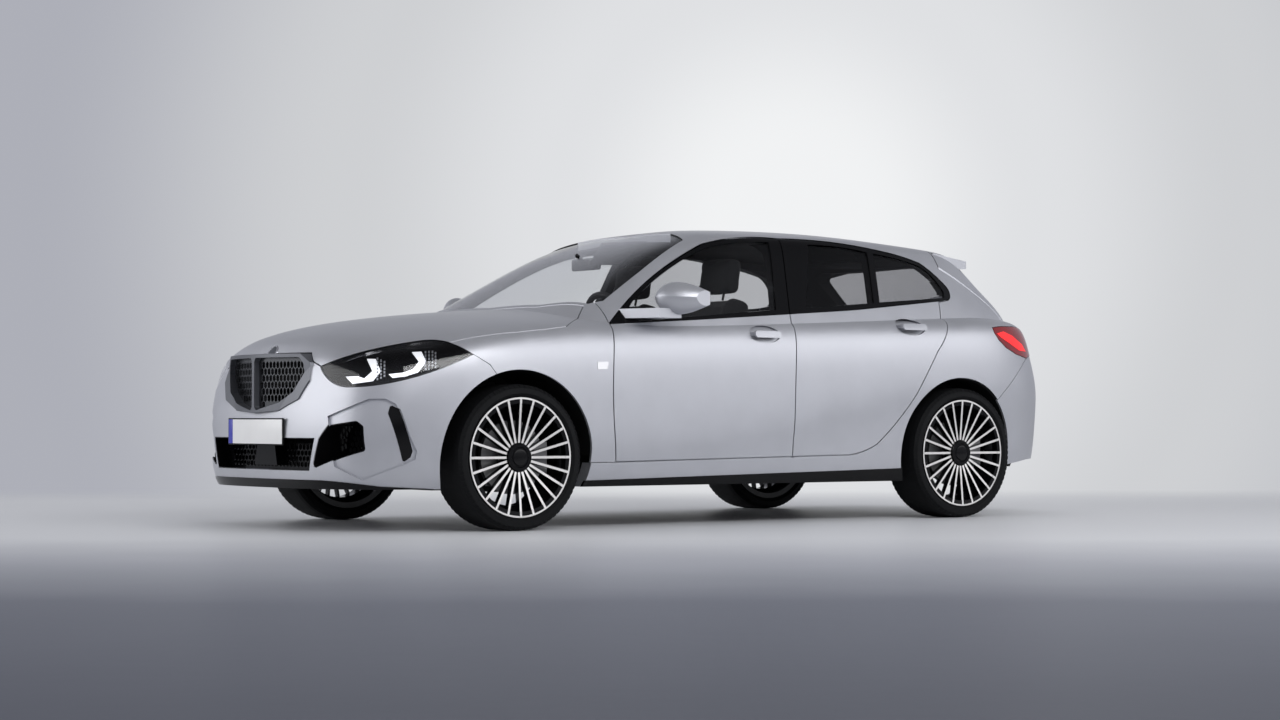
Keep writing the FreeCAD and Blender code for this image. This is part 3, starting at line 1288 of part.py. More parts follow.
def rim():
    """A rim with its barrel, hub and a ring of thin spokes."""
    barrel = Part.Face(polygon(rim_profile())).revolve(Vector(0, 0, 0), Vector(0, 1, 0), 360)
    half = size("rim_width") / 2
    wall = size("rim_wall")
    mount = size("mount_face_offset")
    hub = Part.makeCylinder(size("hub_radius"), half - 2 * wall - mount, Vector(0, mount, 0), Vector(0, 1, 0))
    bore = Part.makeCylinder(size("hub_bore"), half - 5 * wall - mount, Vector(0, mount, 0), Vector(0, 1, 0))
    inner = size("hub_radius") * 0.8
    outer = size("rim_radius") - 0.6 * wall
    bead = size("rim_radius") - 2 * wall
    thick = size("spoke_thickness")
    section = [
        Vector(-thick / 2, half - 6 * wall, inner), Vector(-thick / 2, half - 2 * wall, inner),
        Vector(-thick / 2, half + TOUCH * 3, outer), Vector(-thick / 2, half - 2 * wall / 3, outer),
        Vector(-thick / 2, half - 2 * wall / 3, bead - wall / 2), Vector(-thick / 2, half - 3 * wall, bead - wall / 2),
    ]
    spoke = Part.Face(polygon(section)).extrude(Vector(thick, 0, 0))
    count = int(size("spoke_count"))
    spokes = []
    for number in range(count):
        copy = spoke.copy()
        copy.rotate(Vector(0, 0, 0), Vector(0, 1, 0), 360.0 * number / count)
        spokes.append(copy)
    return hub.multiFuse(spokes).fuse(barrel).cut(bore)


def tyre():
    """A tyre on its rim: tread, shoulders, side walls and beads."""
    half = size("rim_width") / 2
    wall = size("rim_wall")
    bead = size("rim_radius") - 2 * wall
    tread = size("tyre_width") / 2
    radius = size("tyre_radius")
    points = [
        (half - wall, bead), (half - wall, size("rim_radius")), (tread, size("rim_radius") + 2 * wall),
        (tread - wall / 3, radius - 2 * wall), (tread - 2 * wall, radius - wall / 3), (tread - 5 * wall, radius),
    ]
    outer = points + [(-y, r) for y, r in reversed(points)]
    inner = [(-half + 3 * wall, bead), (-tread + 2 * wall, size("rim_radius") + 2 * wall), (-tread + 4 * wall, radius - 2 * wall)]
    inner = inner + [(-y, r) for y, r in reversed(inner)]
    profile = [Vector(0, y, r) for y, r in outer + inner]
    return Part.Face(polygon(profile)).revolve(Vector(0, 0, 0), Vector(0, 1, 0), 360)


def brake_disc():
    """A disc with its hat, seated on the inside of the rim's mounting face."""
    centre = size("disc_offset")
    thick = size("disc_thickness")
    mount = size("mount_face_offset")
    plate = Part.makeCylinder(size("disc_radius"), thick, Vector(0, centre - thick / 2, 0), Vector(0, 1, 0))
    hat = Part.makeCylinder(size("disc_hat_radius"), mount - centre, Vector(0, centre, 0), Vector(0, 1, 0))
    bore = Part.makeCylinder(size("hub_bore"), 4 * thick, Vector(0, centre - 2 * thick, 0), Vector(0, 1, 0))
    return plate.fuse(hat).cut(bore)


wheel_pieces = {"rim": rim(), "tyre": tyre(), "brake_disc": brake_disc()}
for place, x in (("front", FRONT_AXLE), ("rear", REAR_AXLE)):
    for piece, shape in wheel_pieces.items():
        left = placed(shape, Placement(Vector(x, WHEEL_Y, WHEEL_Z), Rotation()))
        keep("left_%s_%s" % (place, piece), left)
        keep("right_%s_%s" % (place, piece), mirrored(left))


# Mirrors
# Along the reach: reach share, rear face's shift in depths, depth share, height share
MIRROR_SHARES = [(0.00, 0.10, 0.74, 0.62), (0.22, 0.00, 1.00, 1.00), (0.68, -0.28, 0.98, 0.96), (1.00, -0.60, 0.62, 0.50)]
# One section: depth share, height share, from the lower rear corner round the front
MIRROR_SECTION_SHARES = [(0.00, -0.42), (0.00, 0.42), (0.48, 0.52), (1.00, 0.06), (0.62, -0.44)]
MIRROR_FOOT_SHARES = [(1.228, 0.840), (1.290, 0.840), (1.312, 1.080), (1.262, 1.090)]
MIRROR_STATION = 1.318
MIRROR_HEIGHT_SHARE = 0.726
MIRROR_ROOT_SHARE = 0.985


def mirror_section(centre, reach_share, shift_share, depth_share, height_share):
    """One section of the mirror's shell: a flat rear face and a rounded front."""
    depth = size("mirror_depth")
    high = size("mirror_height") * height_share
    place = centre + Vector(shift_share * depth, reach_share * size("mirror_reach"), 0)
    spots = [place + Vector(d * depth * depth_share, 0, h * high) for d, h in MIRROR_SECTION_SHARES]
    return Part.Wire([
        Part.makeLine(spots[0], spots[1]),
        Part.Arc(spots[1], spots[2], spots[3]).toShape(),
        Part.Arc(spots[3], spots[4], spots[0]).toShape(),
    ])


def mirror_head():
    """A door mirror: a shell swept back outboard, on a foot from the door's front corner."""
    centre = Vector(along(MIRROR_STATION), MIRROR_ROOT_SHARE * HALF_WIDTH, MIRROR_HEIGHT_SHARE * ROOF)
    head = Part.makeLoft([mirror_section(centre, *row) for row in MIRROR_SHARES], True)
    low = centre.z - (size("mirror_height") + size("mirror_foot")) / 2
    corners = [Vector(along(station), wide * HALF_WIDTH, low) for station, wide in MIRROR_FOOT_SHARES]
    foot = Part.Face(polygon(corners)).extrude(Vector(0, 0, size("mirror_foot")))
    return head.fuse(foot.cut(body_form()))


side_mirror = mirror_head().cut(front_door).cut(front_glass)
keep("left_mirror", one(side_mirror))
keep("right_mirror", mirrored(one(side_mirror)))


# Cabin
def seat():
    """A front seat: cushion, back and head restraint as one plain solid on its base."""
    width = size("seat_width")
    hip = along(1.500)
    floor = FLOOR_Z
    cushion_top = floor + size("seat_height")
    profile = [
        (hip + 470, floor + 150), (hip + 480, cushion_top), (hip + 60, cushion_top - 30), (hip - 110, cushion_top + 560),
        (hip - 190, cushion_top + 560), (hip - 40, cushion_top - 130), (hip - 40, floor), (hip + 400, floor),
    ]
    body = Part.Face(polygon([Vector(x, -width / 2, z) for x, z in profile])).extrude(Vector(0, width, 0))
    head = Part.makeBox(95, 260, 190, Vector(hip - 235, -130, cushion_top + 560))
    return body.fuse(head)


front_seat = placed(seat(), Placement(Vector(0, size("seat_spread") / 2, 0), Rotation()))
keep("front_seats", Part.makeCompound([front_seat, mirrored(front_seat)]))


def rear_seat():
    """The rear bench: cushion and back as one plain solid."""
    width = 0.70 * HALF_WIDTH
    hip = along(1.790)
    top = BOOT_FLOOR_SHARE * ROOF + 70
    profile = [
        (hip + 430, FLOOR_Z + 110), (hip + 440, top), (hip + 20, top - 40), (hip - 170, top + 500),
        (hip - 260, top + 500), (hip - 140, top - 60), (hip + 30 , BOOT_FLOOR_SHARE * ROOF), (hip + 60, FLOOR_Z), (hip + 400, FLOOR_Z),
    ]
    return Part.Face(polygon([Vector(x, -width, z) for x, z in profile])).extrude(Vector(0, 2 * width, 0))


bench = rear_seat().cut(joined(floor_half)).cut(pair(rear_liner))
keep("rear_seat", one(bench))


def dashboard():
    """The dashboard and centre console."""
    x = bulkhead_x - size("bulkhead_thickness")
    profile = [(x, 0.42 * ROOF), (x, 0.655 * ROOF), (x - 180, 0.665 * ROOF), (x - 330, 0.63 * ROOF), (x - 300, 0.50 * ROOF), (x - 120, 0.42 * ROOF)]
    dash = Part.Face(polygon([Vector(px, -HALF_WIDTH, pz) for px, pz in profile])).extrude(Vector(0, 2 * HALF_WIDTH, 0))
    console = block(x - 120, x - 900, -TUNNEL_HALF + 10, TUNNEL_HALF - 10, tunnel_top, tunnel_top + 90)
    console = console.fuse(block(x - 120, x - 300, -TUNNEL_HALF + 10, TUNNEL_HALF - 10, tunnel_top, 0.5 * ROOF))
    column = Part.makeCylinder(
        size("column_radius"), size("steering_radius"), STEER_POINT + STEER_AXIS * (size("steering_rim") + TOUCH), STEER_AXIS
    )
    return dash.fuse(console).common(joined(body_form(DOOR_T + GAP, PILLAR_T + GAP))).fuse(column)


STEER_POINT = Vector(along(1.325), size("seat_spread") / 2, 0.640 * ROOF)
STEER_TURN = Rotation(Vector(0, 1, 0), size("steering_rake"))
STEER_AXIS = STEER_TURN.multVec(Vector(1, 0, 0))
dash = one(dashboard())
keep("dashboard", dash)


def steering_wheel():
    """The steering wheel: a rim, a boss and three spokes, tilted back."""
    ring = Part.makeTorus(size("steering_radius"), size("steering_rim"), Vector(0, 0, 0), Vector(1, 0, 0))
    boss = Part.makeCylinder(size("steering_rim") * 4, size("steering_rim") * 2, Vector(-size("steering_rim"), 0, 0), Vector(1, 0, 0))
    spokes = [
        block(-6, 6, -size("steering_radius"), size("steering_radius"), -14, 14),
        block(-6, 6, -16, 16, -size("steering_radius"), 0),
    ]
    return ring.fuse([boss] + spokes)


wheel = placed(steering_wheel(), Placement(STEER_POINT, STEER_TURN))
keep("steering_wheel", wheel)

doc.recompute()
for part in PARTS:
    state = list(part.State)
    if "Invalid" in state or "Error" in state:
        raise RuntimeError("%s did not compute: %s" % (part.Label, state))
    if part.Shape.isNull() or not part.Shape.isValid():
        raise RuntimeError("%s has no valid shape" % part.Label)
for part in PARTS:
    part.Shape.exportStep("parts/%s.step" % part.Label)
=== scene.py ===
"""Looks of a five-door hatchback car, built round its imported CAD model.

Metres. +X points forward, +Y to the left and +Z up; the origin is on the ground at mid-length and mid-width.
Each sub-assembly is a class that holds its own sizes, builds its meshes with bmesh and dresses them.
"""

import json
import logging
import math
from dataclasses import dataclass
from enum import Enum
from typing import Callable, Iterable, Sequence

import bmesh
import bpy
from mathutils import Matrix, Vector
from mathutils.bvhtree import BVHTree

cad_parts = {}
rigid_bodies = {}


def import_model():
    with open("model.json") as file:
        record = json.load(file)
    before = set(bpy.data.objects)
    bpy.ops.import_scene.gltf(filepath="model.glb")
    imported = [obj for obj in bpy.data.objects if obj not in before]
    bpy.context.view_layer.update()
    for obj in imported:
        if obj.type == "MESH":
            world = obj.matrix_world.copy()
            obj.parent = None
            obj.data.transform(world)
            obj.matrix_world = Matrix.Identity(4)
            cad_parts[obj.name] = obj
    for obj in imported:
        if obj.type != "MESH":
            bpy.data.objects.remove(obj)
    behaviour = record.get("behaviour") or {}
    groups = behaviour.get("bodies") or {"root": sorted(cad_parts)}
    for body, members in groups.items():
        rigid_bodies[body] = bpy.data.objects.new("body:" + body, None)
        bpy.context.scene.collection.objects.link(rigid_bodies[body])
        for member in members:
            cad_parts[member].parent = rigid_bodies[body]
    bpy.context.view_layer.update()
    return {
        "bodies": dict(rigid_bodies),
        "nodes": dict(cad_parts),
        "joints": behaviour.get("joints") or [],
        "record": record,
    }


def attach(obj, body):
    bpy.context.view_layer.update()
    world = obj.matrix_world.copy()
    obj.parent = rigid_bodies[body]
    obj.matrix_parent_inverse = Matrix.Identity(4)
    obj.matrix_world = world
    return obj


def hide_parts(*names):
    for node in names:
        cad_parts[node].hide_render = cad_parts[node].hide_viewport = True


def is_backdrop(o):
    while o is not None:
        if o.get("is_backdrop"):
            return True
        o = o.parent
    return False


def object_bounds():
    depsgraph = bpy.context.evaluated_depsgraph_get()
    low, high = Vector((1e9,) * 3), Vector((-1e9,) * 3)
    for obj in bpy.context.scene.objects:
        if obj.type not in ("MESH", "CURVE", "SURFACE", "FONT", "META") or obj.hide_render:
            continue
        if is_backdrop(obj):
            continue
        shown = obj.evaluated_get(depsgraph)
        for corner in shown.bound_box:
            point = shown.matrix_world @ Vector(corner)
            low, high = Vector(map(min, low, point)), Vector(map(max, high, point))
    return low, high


Point = tuple[float, float, float]
Spot = tuple[float, float]
Outline = Sequence[Spot]
Laid = tuple[Vector, Vector]
Shades = Sequence[tuple[float, Point]]
Socket = bpy.types.NodeSocket

LOG = logging.getLogger("hatchback")
SIDES = (("left", 1.0), ("right", -1.0))
CLEAR_OF_CAR = 4.0
FORWARD: Point = (1.0, 0.0, 0.0)
BACKWARD: Point = (-1.0, 0.0, 0.0)


class Relief(Enum):
    """The small-scale relief of a finish."""

    NONE = "none"
    FLAKE = "flake"
    GRAIN = "grain"
    BRUSHED = "brushed"
    CAST = "cast"
    WEAVE = "weave"
    TREAD = "tread"


@dataclass(frozen=True)
class Finish:
    """One surface finish.

    Attributes:
        name: The material's name.
        colour: Linear base colour.
        metallic: How metallic the base is.
        roughness: Roughness of the base.
        coat: Strength of the clear coat.
        coat_roughness: Roughness of the clear coat.
        emission: Strength of its own light.
        sheen: Strength of the cloth sheen.
        specular: Level of the mirror-like reflection.
        relief: The small-scale relief.
        relief_size: Size of one feature of the relief, in metres.
        relief_depth: Depth of the relief, in metres.
        variation: How far the colour varies over the surface.
    """

    name: str
    colour: Point
    metallic: float = 0.0
    roughness: float = 0.5
    coat: float = 0.0
    coat_roughness: float = 0.05
    emission: float = 0.0
    sheen: float = 0.0
    specular: float = 0.5
    relief: Relief = Relief.NONE
    relief_size: float = 0.002
    relief_depth: float = 0.0001
    variation: float = 0.04


PAINT = Finish("satin_paint", (0.470, 0.478, 0.515), 0.58, 0.40, 0.18, 0.20, relief=Relief.FLAKE,
               relief_size=0.0012, relief_depth=0.000008, variation=0.02)
GLOSS_BLACK = Finish("gloss_black", (0.003, 0.003, 0.0035), 0.0, 0.14, specular=0.22, variation=0.02)
MESH_BLACK = Finish("mesh_black", (0.055, 0.057, 0.062), 0.8, 0.26, variation=0.02)
MATT_BLACK = Finish("matt_black", (0.006, 0.006, 0.0065), 0.0, 0.62, specular=0.2, relief=Relief.GRAIN,
                    relief_size=0.0016, relief_depth=0.00012)
GRILLE_GREY = Finish("grille_grey", (0.135, 0.140, 0.156), 0.6, 0.42, variation=0.02)
SATIN_GREY = Finish("satin_grey", (0.050, 0.056, 0.070), 0.3, 0.34, variation=0.03)
UNDERBODY = Finish("underbody", (0.007, 0.007, 0.008), 0.0, 0.7, specular=0.2, relief=Relief.CAST,
                   relief_size=0.004, relief_depth=0.0002)
LAMP_BOWL = Finish("lamp_bowl", (0.006, 0.006, 0.007), 0.2, 0.20, variation=0.02)
LAMP_RED = Finish("lamp_red", (0.200, 0.004, 0.006), 0.0, 0.12, 0.6, 0.03, variation=0.10)
LIGHT_RED = Finish("light_red", (0.85, 0.020, 0.022), 0.0, 0.2, emission=0.55, variation=0.0)
LIGHT_WHITE = Finish("light_white", (0.95, 0.97, 1.0), 0.0, 0.3, emission=1.0, variation=0.0)
# The facets are metal, not lights: their emission is a painted glint.
FACET_PAINTED_GLINT = Finish("lamp_facets", (0.50, 0.52, 0.56), 0.2, 0.45, emission=0.20, variation=0.0)
SILVER = Finish("silver_tab", (0.78, 0.78, 0.80), 0.3, 0.25, variation=0.0)
CHROME = Finish("chrome", (0.72, 0.72, 0.74), 1.0, 0.14, relief=Relief.BRUSHED, relief_size=0.001,
                relief_depth=0.000005)
ALLOY = Finish("turned_alloy", (0.74, 0.725, 0.71), 0.55, 0.32, 0.2, relief=Relief.BRUSHED,
               relief_size=0.0006, relief_depth=0.00001)
CAST_IRON = Finish("cast_iron", (0.20, 0.20, 0.205), 0.6, 0.5, relief=Relief.CAST, relief_size=0.002,
                   relief_depth=0.0002)
DISC_STEEL = Finish("disc_steel", (0.16, 0.16, 0.16), 0.9, 0.36, relief=Relief.BRUSHED, relief_size=0.0008,
                    relief_depth=0.00003)
ENGINE_ALLOY = Finish("engine_alloy", (0.35, 0.35, 0.36), 0.8, 0.45, relief=Relief.CAST, relief_size=0.003,
                      relief_depth=0.0003)
CABIN_TRIM = Finish("cabin_trim", (0.010, 0.010, 0.011), 0.0, 0.6, specular=0.25, relief=Relief.GRAIN,
                    relief_size=0.002, relief_depth=0.0002)
SEAT_CLOTH = Finish("seat_cloth", (0.008, 0.008, 0.009), 0.0, 0.85, sheen=0.08, specular=0.2,
                    relief=Relief.WEAVE, relief_size=0.003, relief_depth=0.0003)
PLATE_WHITE = Finish("plate_white", (0.78, 0.78, 0.78), 0.0, 0.35, 0.2, variation=0.02)
PLATE_BLUE = Finish("plate_blue", (0.012, 0.020, 0.36), 0.0, 0.35, 0.2, variation=0.02)
MIRROR_GLASS = Finish("mirror_glass", (0.80, 0.81, 0.83), 1.0, 0.03, variation=0.0)
RUBBER = Finish("tyre_rubber", (0.0045, 0.0048, 0.0055), 0.0, 0.66, specular=0.15, relief=Relief.TREAD,
                relief_size=0.002, relief_depth=0.0012)
STEEL = Finish("brushed_steel", (0.45, 0.45, 0.46), 1.0, 0.3, relief=Relief.BRUSHED, relief_size=0.001,
               relief_depth=0.00002)


@dataclass(frozen=True)
class Pane:
    """A thin pane's finish.

    Attributes:
        name: The material's name.
        tint: Share of each colour that one of its two faces lets through.
        least: Share mirrored head-on.
        power: How fast the mirrored share grows with the slant.
        roughness: Roughness of what it mirrors.
    """

    name: str
    tint: Point
    least: float = 0.02
    power: float = 5.0
    roughness: float = 0.03


CLEAR_PANE = Pane("clear_glass", (0.97, 0.975, 0.98), 0.04)
SIDE_PANE = Pane("side_glass", (0.95, 0.955, 0.96))
DARK_PANE = Pane("dark_glass", (0.74, 0.74, 0.75))
LENS_PANE = Pane("lens_glass", (0.97, 0.97, 0.98))


class Value:
    """A number that a material works out, joined to others by the usual signs.

    A comparison gives one where it holds and zero where it doesn't.
    """

    def __init__(self, graph: "Graph", socket: Socket) -> None:
        """Hold one of a graph's sockets."""
        self.graph = graph
        self.socket = socket

    def calc(self, operation: str, *others: "Value | float") -> "Value":
        """Feed this value, and any others after it, to a maths node.

        Args:
            operation: The node's operation.
            *others: Values or plain numbers.

        Returns:
            The node's result.
        """
        made = self.graph.node("ShaderNodeMath", operation=operation)
        for socket, value in zip(made.inputs, (self, *others)):
            self.graph.fill(socket, value)
        return Value(self.graph, made.outputs[0])

    def __add__(self, other: "Value | float") -> "Value":
        """This value and another together."""
        return self.calc("ADD", other)

    def __sub__(self, other: "Value | float") -> "Value":
        """This value less another."""
        return self.calc("SUBTRACT", other)

    def __rsub__(self, other: float) -> "Value":
        """A number less this value."""
        return self.calc("MULTIPLY_ADD", -1.0, other)

    def __mul__(self, other: "Value | float") -> "Value":
        """This value times another."""
        return self.calc("MULTIPLY", other)

    def __gt__(self, other: "Value | float") -> "Value":
        """One where this value is the greater."""
        return self.calc("GREATER_THAN", other)

    def __lt__(self, other: "Value | float") -> "Value":
        """One where this value is the smaller."""
        return self.calc("LESS_THAN", other)

    def __abs__(self) -> "Value":
        """This value without its sign."""
        return self.calc("ABSOLUTE")


@dataclass(frozen=True)
class TyreSizes:
    """Sizes that the wheels' looks follow, in metres.

    Attributes:
        track: Distance of a wheel's middle from the car's.
        front_axle: Station of the front axle.
        rear_axle: Station of the rear axle.
        height: Height of the axles.
        shoulder: Radius at which the tread begins.
        groove_pitch: Spacing of the grooves round the tread.
        groove_edge: Level of the grooves' wave below which the rubber is cut.
        ring_pitch: Spacing of the fine rings on the side walls.
        ring_depth: Depth of the rings as a share of the tread's.
        cuts: Cuts across the tread, all round.
        cut_edge: Level of the cuts' wave below which the rubber is cut.
        slant: How far a cut turns with its distance from the middle.
    """

    track: float = 0.782
    front_axle: float = 1.314
    rear_axle: float = -1.356
    height: float = 0.327
    shoulder: float = 0.312
    groove_pitch: float = 0.046
    groove_edge: float = -0.75
    ring_pitch: float = 0.0052
    ring_depth: float = 0.12
    cuts: float = 70.0
    cut_edge: float = -0.8
    slant: float = 60.0

    def polar(self, graph: "Graph") -> tuple[Value, Value, Value]:
        """Place about the nearer axle: how far ahead of it, how far above it and how far from it.

        Args:
            graph: The material's graph.

        Returns:
            How far ahead, how far above and how far away.
        """
        x, _, z = graph.axes()
        ahead = x - ((x > 0.0) * (self.front_axle - self.rear_axle) + self.rear_axle)
        above = z - self.height
        return ahead, above, (ahead * ahead + above * above).calc("SQRT")


class Graph:
    """Short calls for wiring the nodes of one material or world.

    Attributes:
        cloud_scale: Clouds of varied colour to a metre.
        cloud_detail: Their detail.
        colour_edges: Levels of the clouds where the colour is darkest and lightest.
        rough_edges: Levels of the clouds where the surface is smoothest and roughest.
        rough_spread: How far the roughness varies, as a share of it.
        brushed_stretch: Width of a brush mark as a share of its length.
    """

    cloud_scale = 7.0
    cloud_detail = 3.0
    colour_edges = (0.35, 0.65)
    rough_edges = (0.3, 0.7)
    rough_spread = 0.07
    brushed_stretch = 0.2

    def __init__(self, owner: bpy.types.Material | bpy.types.World) -> None:
        """Empty the owner's tree and add its output.

        Args:
            owner: The material or world whose nodes are wired.
        """
        owner.use_nodes = True
        self.tree = owner.node_tree
        self.tree.nodes.clear()
        kind = "World" if isinstance(owner, bpy.types.World) else "Material"
        self.output = self.node("ShaderNodeOutput" + kind)
        coordinates = self.node("ShaderNodeTexCoord").outputs
        self.place = coordinates["Object"]
        self.normal = coordinates["Normal"]
        self.direction = coordinates["Generated"]

    def node(self, kind: str, **values: object) -> bpy.types.Node:
        """Add a node and fill its inputs.

        Args:
            kind: The node's type.
            **values: Inputs, by name with underscores for spaces, or node properties.

        Returns:
            The new node.
        """
        made = self.tree.nodes.new(kind)
        for key, value in values.items():
            name = key.replace("_", " ")
            if name in made.inputs:
                self.fill(made.inputs[name], value)
            else:
                setattr(made, key, value)
        return made

    def fill(self, socket: Socket, value: object) -> None:
        """Link a socket or set its value.

        Args:
            socket: The input.
            value: A socket or value to link, or what the input is set to.
        """
        value = value.socket if isinstance(value, Value) else value
        if isinstance(value, bpy.types.NodeSocket):
            self.tree.links.new(value, socket)
        else:
            socket.default_value = value

    def axes(self, socket: Socket | None = None) -> tuple[Value, ...]:
        """The X, Y and Z of a vector, by default the place on the object."""
        split = self.node("ShaderNodeSeparateXYZ", Vector=socket or self.place)
        return tuple(Value(self, output) for output in split.outputs)

    def vector(self, operation: str, *values: object) -> bpy.types.Node:
        """Add a vector maths node.

        Args:
            operation: The node's operation.
            *values: Its inputs in order.

        Returns:
            The node.
        """
        made = self.node("ShaderNodeVectorMath", operation=operation)
        for socket, value in zip(made.inputs, values):
            self.fill(socket, value)
        return made

    def noise(self, scale: float, detail: float, place: Socket | None = None) -> Value:
        """Soft noise, by default over the place on the object."""
        made = self.node("ShaderNodeTexNoise", Vector=place or self.place, Scale=scale, Detail=detail)
        return Value(self, made.outputs[0])

    def bump(self, height: Value, strength: float, distance: float) -> Socket:
        """The normal of a surface that a height raises."""
        return self.node("ShaderNodeBump", Height=height, Strength=strength, Distance=distance).outputs[0]

    def step(self, value: Value, edges: Spot, levels: Spot = (0.0, 1.0), kind: str = "SMOOTHSTEP") -> Value:
        """A step between two levels.

        Args:
            value: What it follows.
            edges: Where it starts and ends.
            levels: Its levels before and after.
            kind: How it passes from one to the other.

        Returns:
            The level.
        """
        made = self.node("ShaderNodeMapRange", interpolation_type=kind, Value=value, From_Min=edges[0],
                         From_Max=edges[1], To_Min=levels[0], To_Max=levels[1])
        return Value(self, made.outputs[0])

    def ramp(self, factor: Value, stops: Shades, blend: str = "LINEAR") -> Socket:
        """A run of colours.

        Args:
            factor: The place on the run, from zero to one.
            stops: Places and colours in order.
            blend: How the colours pass into each other.

        Returns:
            The colour.
        """
        made = self.node("ShaderNodeValToRGB", Fac=factor)
        made.color_ramp.interpolation = blend
        shades = made.color_ramp.elements
        for number, (place, shade) in enumerate(stops):
            spot = shades[number] if number < 2 else shades.new(1.0)
            spot.position = place
            spot.color = (*shade, 1.0)
        return made.outputs[0]

    def relief(self, finish: Finish) -> Socket:
        """The bump that a finish asks for.

        Args:
            finish: The finish.

        Returns:
            The bumped normal.
        """
        scale = 1.0 / finish.relief_size
        if finish.relief is Relief.WEAVE:
            x, y, z = self.axes()
            warp = ((x + z) * (scale * math.tau)).calc("SINE")
            height = warp.calc("MAXIMUM", ((y - z) * (scale * math.tau)).calc("SINE"))
        elif finish.relief is Relief.BRUSHED:
            short = scale * self.brushed_stretch
            stretch = self.node("ShaderNodeMapping", Vector=self.place, Scale=(short, scale, short))
            height = self.noise(1.0, 2.0, stretch.outputs[0])
        elif finish.relief is Relief.TREAD:
            height = self.tread(TyreSizes())
        elif finish.relief is Relief.GRAIN:
            height = Value(self, self.node("ShaderNodeTexVoronoi", Vector=self.place, Scale=scale).outputs[0])
        else:
            height = self.noise(scale, 4.0)
        return self.bump(height, 1.0, finish.relief_depth)

    def tread(self, tyre: TyreSizes) -> Value:
        """Grooves round a tyre's tread, slanting cuts across it and fine rings on its side walls.

        Args:
            tyre: The sizes of the wheels.

        Returns:
            The height of the rubber.
        """
        ahead, above, radius = tyre.polar(self)
        _, y, _ = self.axes()
        across = abs(y) - tyre.track
        groove = (across * (math.tau / tyre.groove_pitch)).calc("SINE")
        cut = (abs(across) * tyre.slant + above.calc("ARCTAN2", ahead) * tyre.cuts).calc("SINE")
        rings = (radius * (math.tau / tyre.ring_pitch)).calc("SINE")
        on_tread = radius > tyre.shoulder
        deep = (groove > tyre.groove_edge).calc("MINIMUM", cut > tyre.cut_edge) * on_tread
        return deep + (1.0 - on_tread) * (rings * tyre.ring_depth)

    def shader(self, finish: Finish) -> Socket:
        """A principled shader for a finish, with its colour varied and its relief.

        Args:
            finish: The finish.

        Returns:
            The shader's output.
        """
        made = self.node("ShaderNodeBsdfPrincipled", Base_Color=(*finish.colour, 1.0),
                         Metallic=finish.metallic, Roughness=finish.roughness, Coat_Weight=finish.coat,
                         Coat_Roughness=finish.coat_roughness, Sheen_Weight=finish.sheen,
                         Specular_IOR_Level=finish.specular)
        if finish.emission:
            self.fill(made.inputs["Emission Color"], (*finish.colour, 1.0))
            self.fill(made.inputs["Emission Strength"], finish.emission)
        if finish.variation:
            cloud = self.noise(self.cloud_scale, self.cloud_detail)
            levels = (1 - finish.variation, 1 + finish.variation)
            shades = [tuple(min(1.0, part * level) for part in finish.colour) for level in levels]
            self.fill(made.inputs["Base Color"], self.ramp(cloud, list(zip(self.colour_edges, shades))))
            smooth, rough = (min(1.0, finish.roughness * (1 + sign * self.rough_spread)) for sign in (-1, 1))
            self.fill(made.inputs["Roughness"], self.step(cloud, self.rough_edges, (smooth, rough), "LINEAR"))
        if finish.relief is not Relief.NONE:
            self.fill(made.inputs["Normal"], self.relief(finish))
        return made.outputs[0]

    def end(self, shader: Socket) -> None:
        """Send a shader to the surface."""
        self.fill(self.output.inputs["Surface"], shader)

    def mixed(self, factor: Value, first: Socket, second: Socket) -> Socket:
        """Mix two shaders by a mask that is one where the second shows.

        Args:
            factor: The mask.
            first: The shader where it is zero.
            second: The shader where it is one.

        Returns:
            The mixed shader.
        """
        mix = self.node("ShaderNodeMixShader")
        for socket, value in zip(mix.inputs, (factor, first, second)):
            self.fill(socket, value)
        return mix.outputs[0]


class Library:
    """Every material of the car, each made once."""

    def __init__(self) -> None:
        """Start with no materials."""
        self.made: dict[str, bpy.types.Material] = {}

    def custom(self, name: str, wire: Callable[[Graph], None]) -> bpy.types.Material:
        """A material with its own wiring.

        Args:
            name: The material's name.
            wire: A function that wires its nodes.

        Returns:
            The material.
        """
        if name not in self.made:
            material = bpy.data.materials.new(name)
            wire(Graph(material))
            self.made[name] = material
        return self.made[name]

    def pane(self, pane: Pane) -> bpy.types.Material:
        """The material of a thin pane: clear head-on and mirror-like at a slant.

        Args:
            pane: The pane's finish.

        Returns:
            The material.
        """

        def wire(graph: Graph) -> None:
            """Mix what is seen through the pane with what it mirrors.

            Args:
                graph: The material's graph.
            """
            through = graph.node("ShaderNodeBsdfTransparent", Color=(*pane.tint, 1.0))
            mirror = graph.node("ShaderNodeBsdfPrincipled", Base_Color=(1.0, 1.0, 1.0, 1.0), Metallic=1.0,
                                Roughness=pane.roughness)
            slant = Value(graph, graph.node("ShaderNodeLayerWeight").outputs["Facing"])
            share = slant.calc("POWER", pane.power) * (1.0 - pane.least) + pane.least
            graph.end(graph.mixed(share, through.outputs[0], mirror.outputs[0]))

        return self.custom(pane.name, wire)

    def plain(self, finish: Finish) -> bpy.types.Material:
        """The material of a finish alone."""
        return self.custom(finish.name, lambda graph: graph.end(graph.shader(finish)))


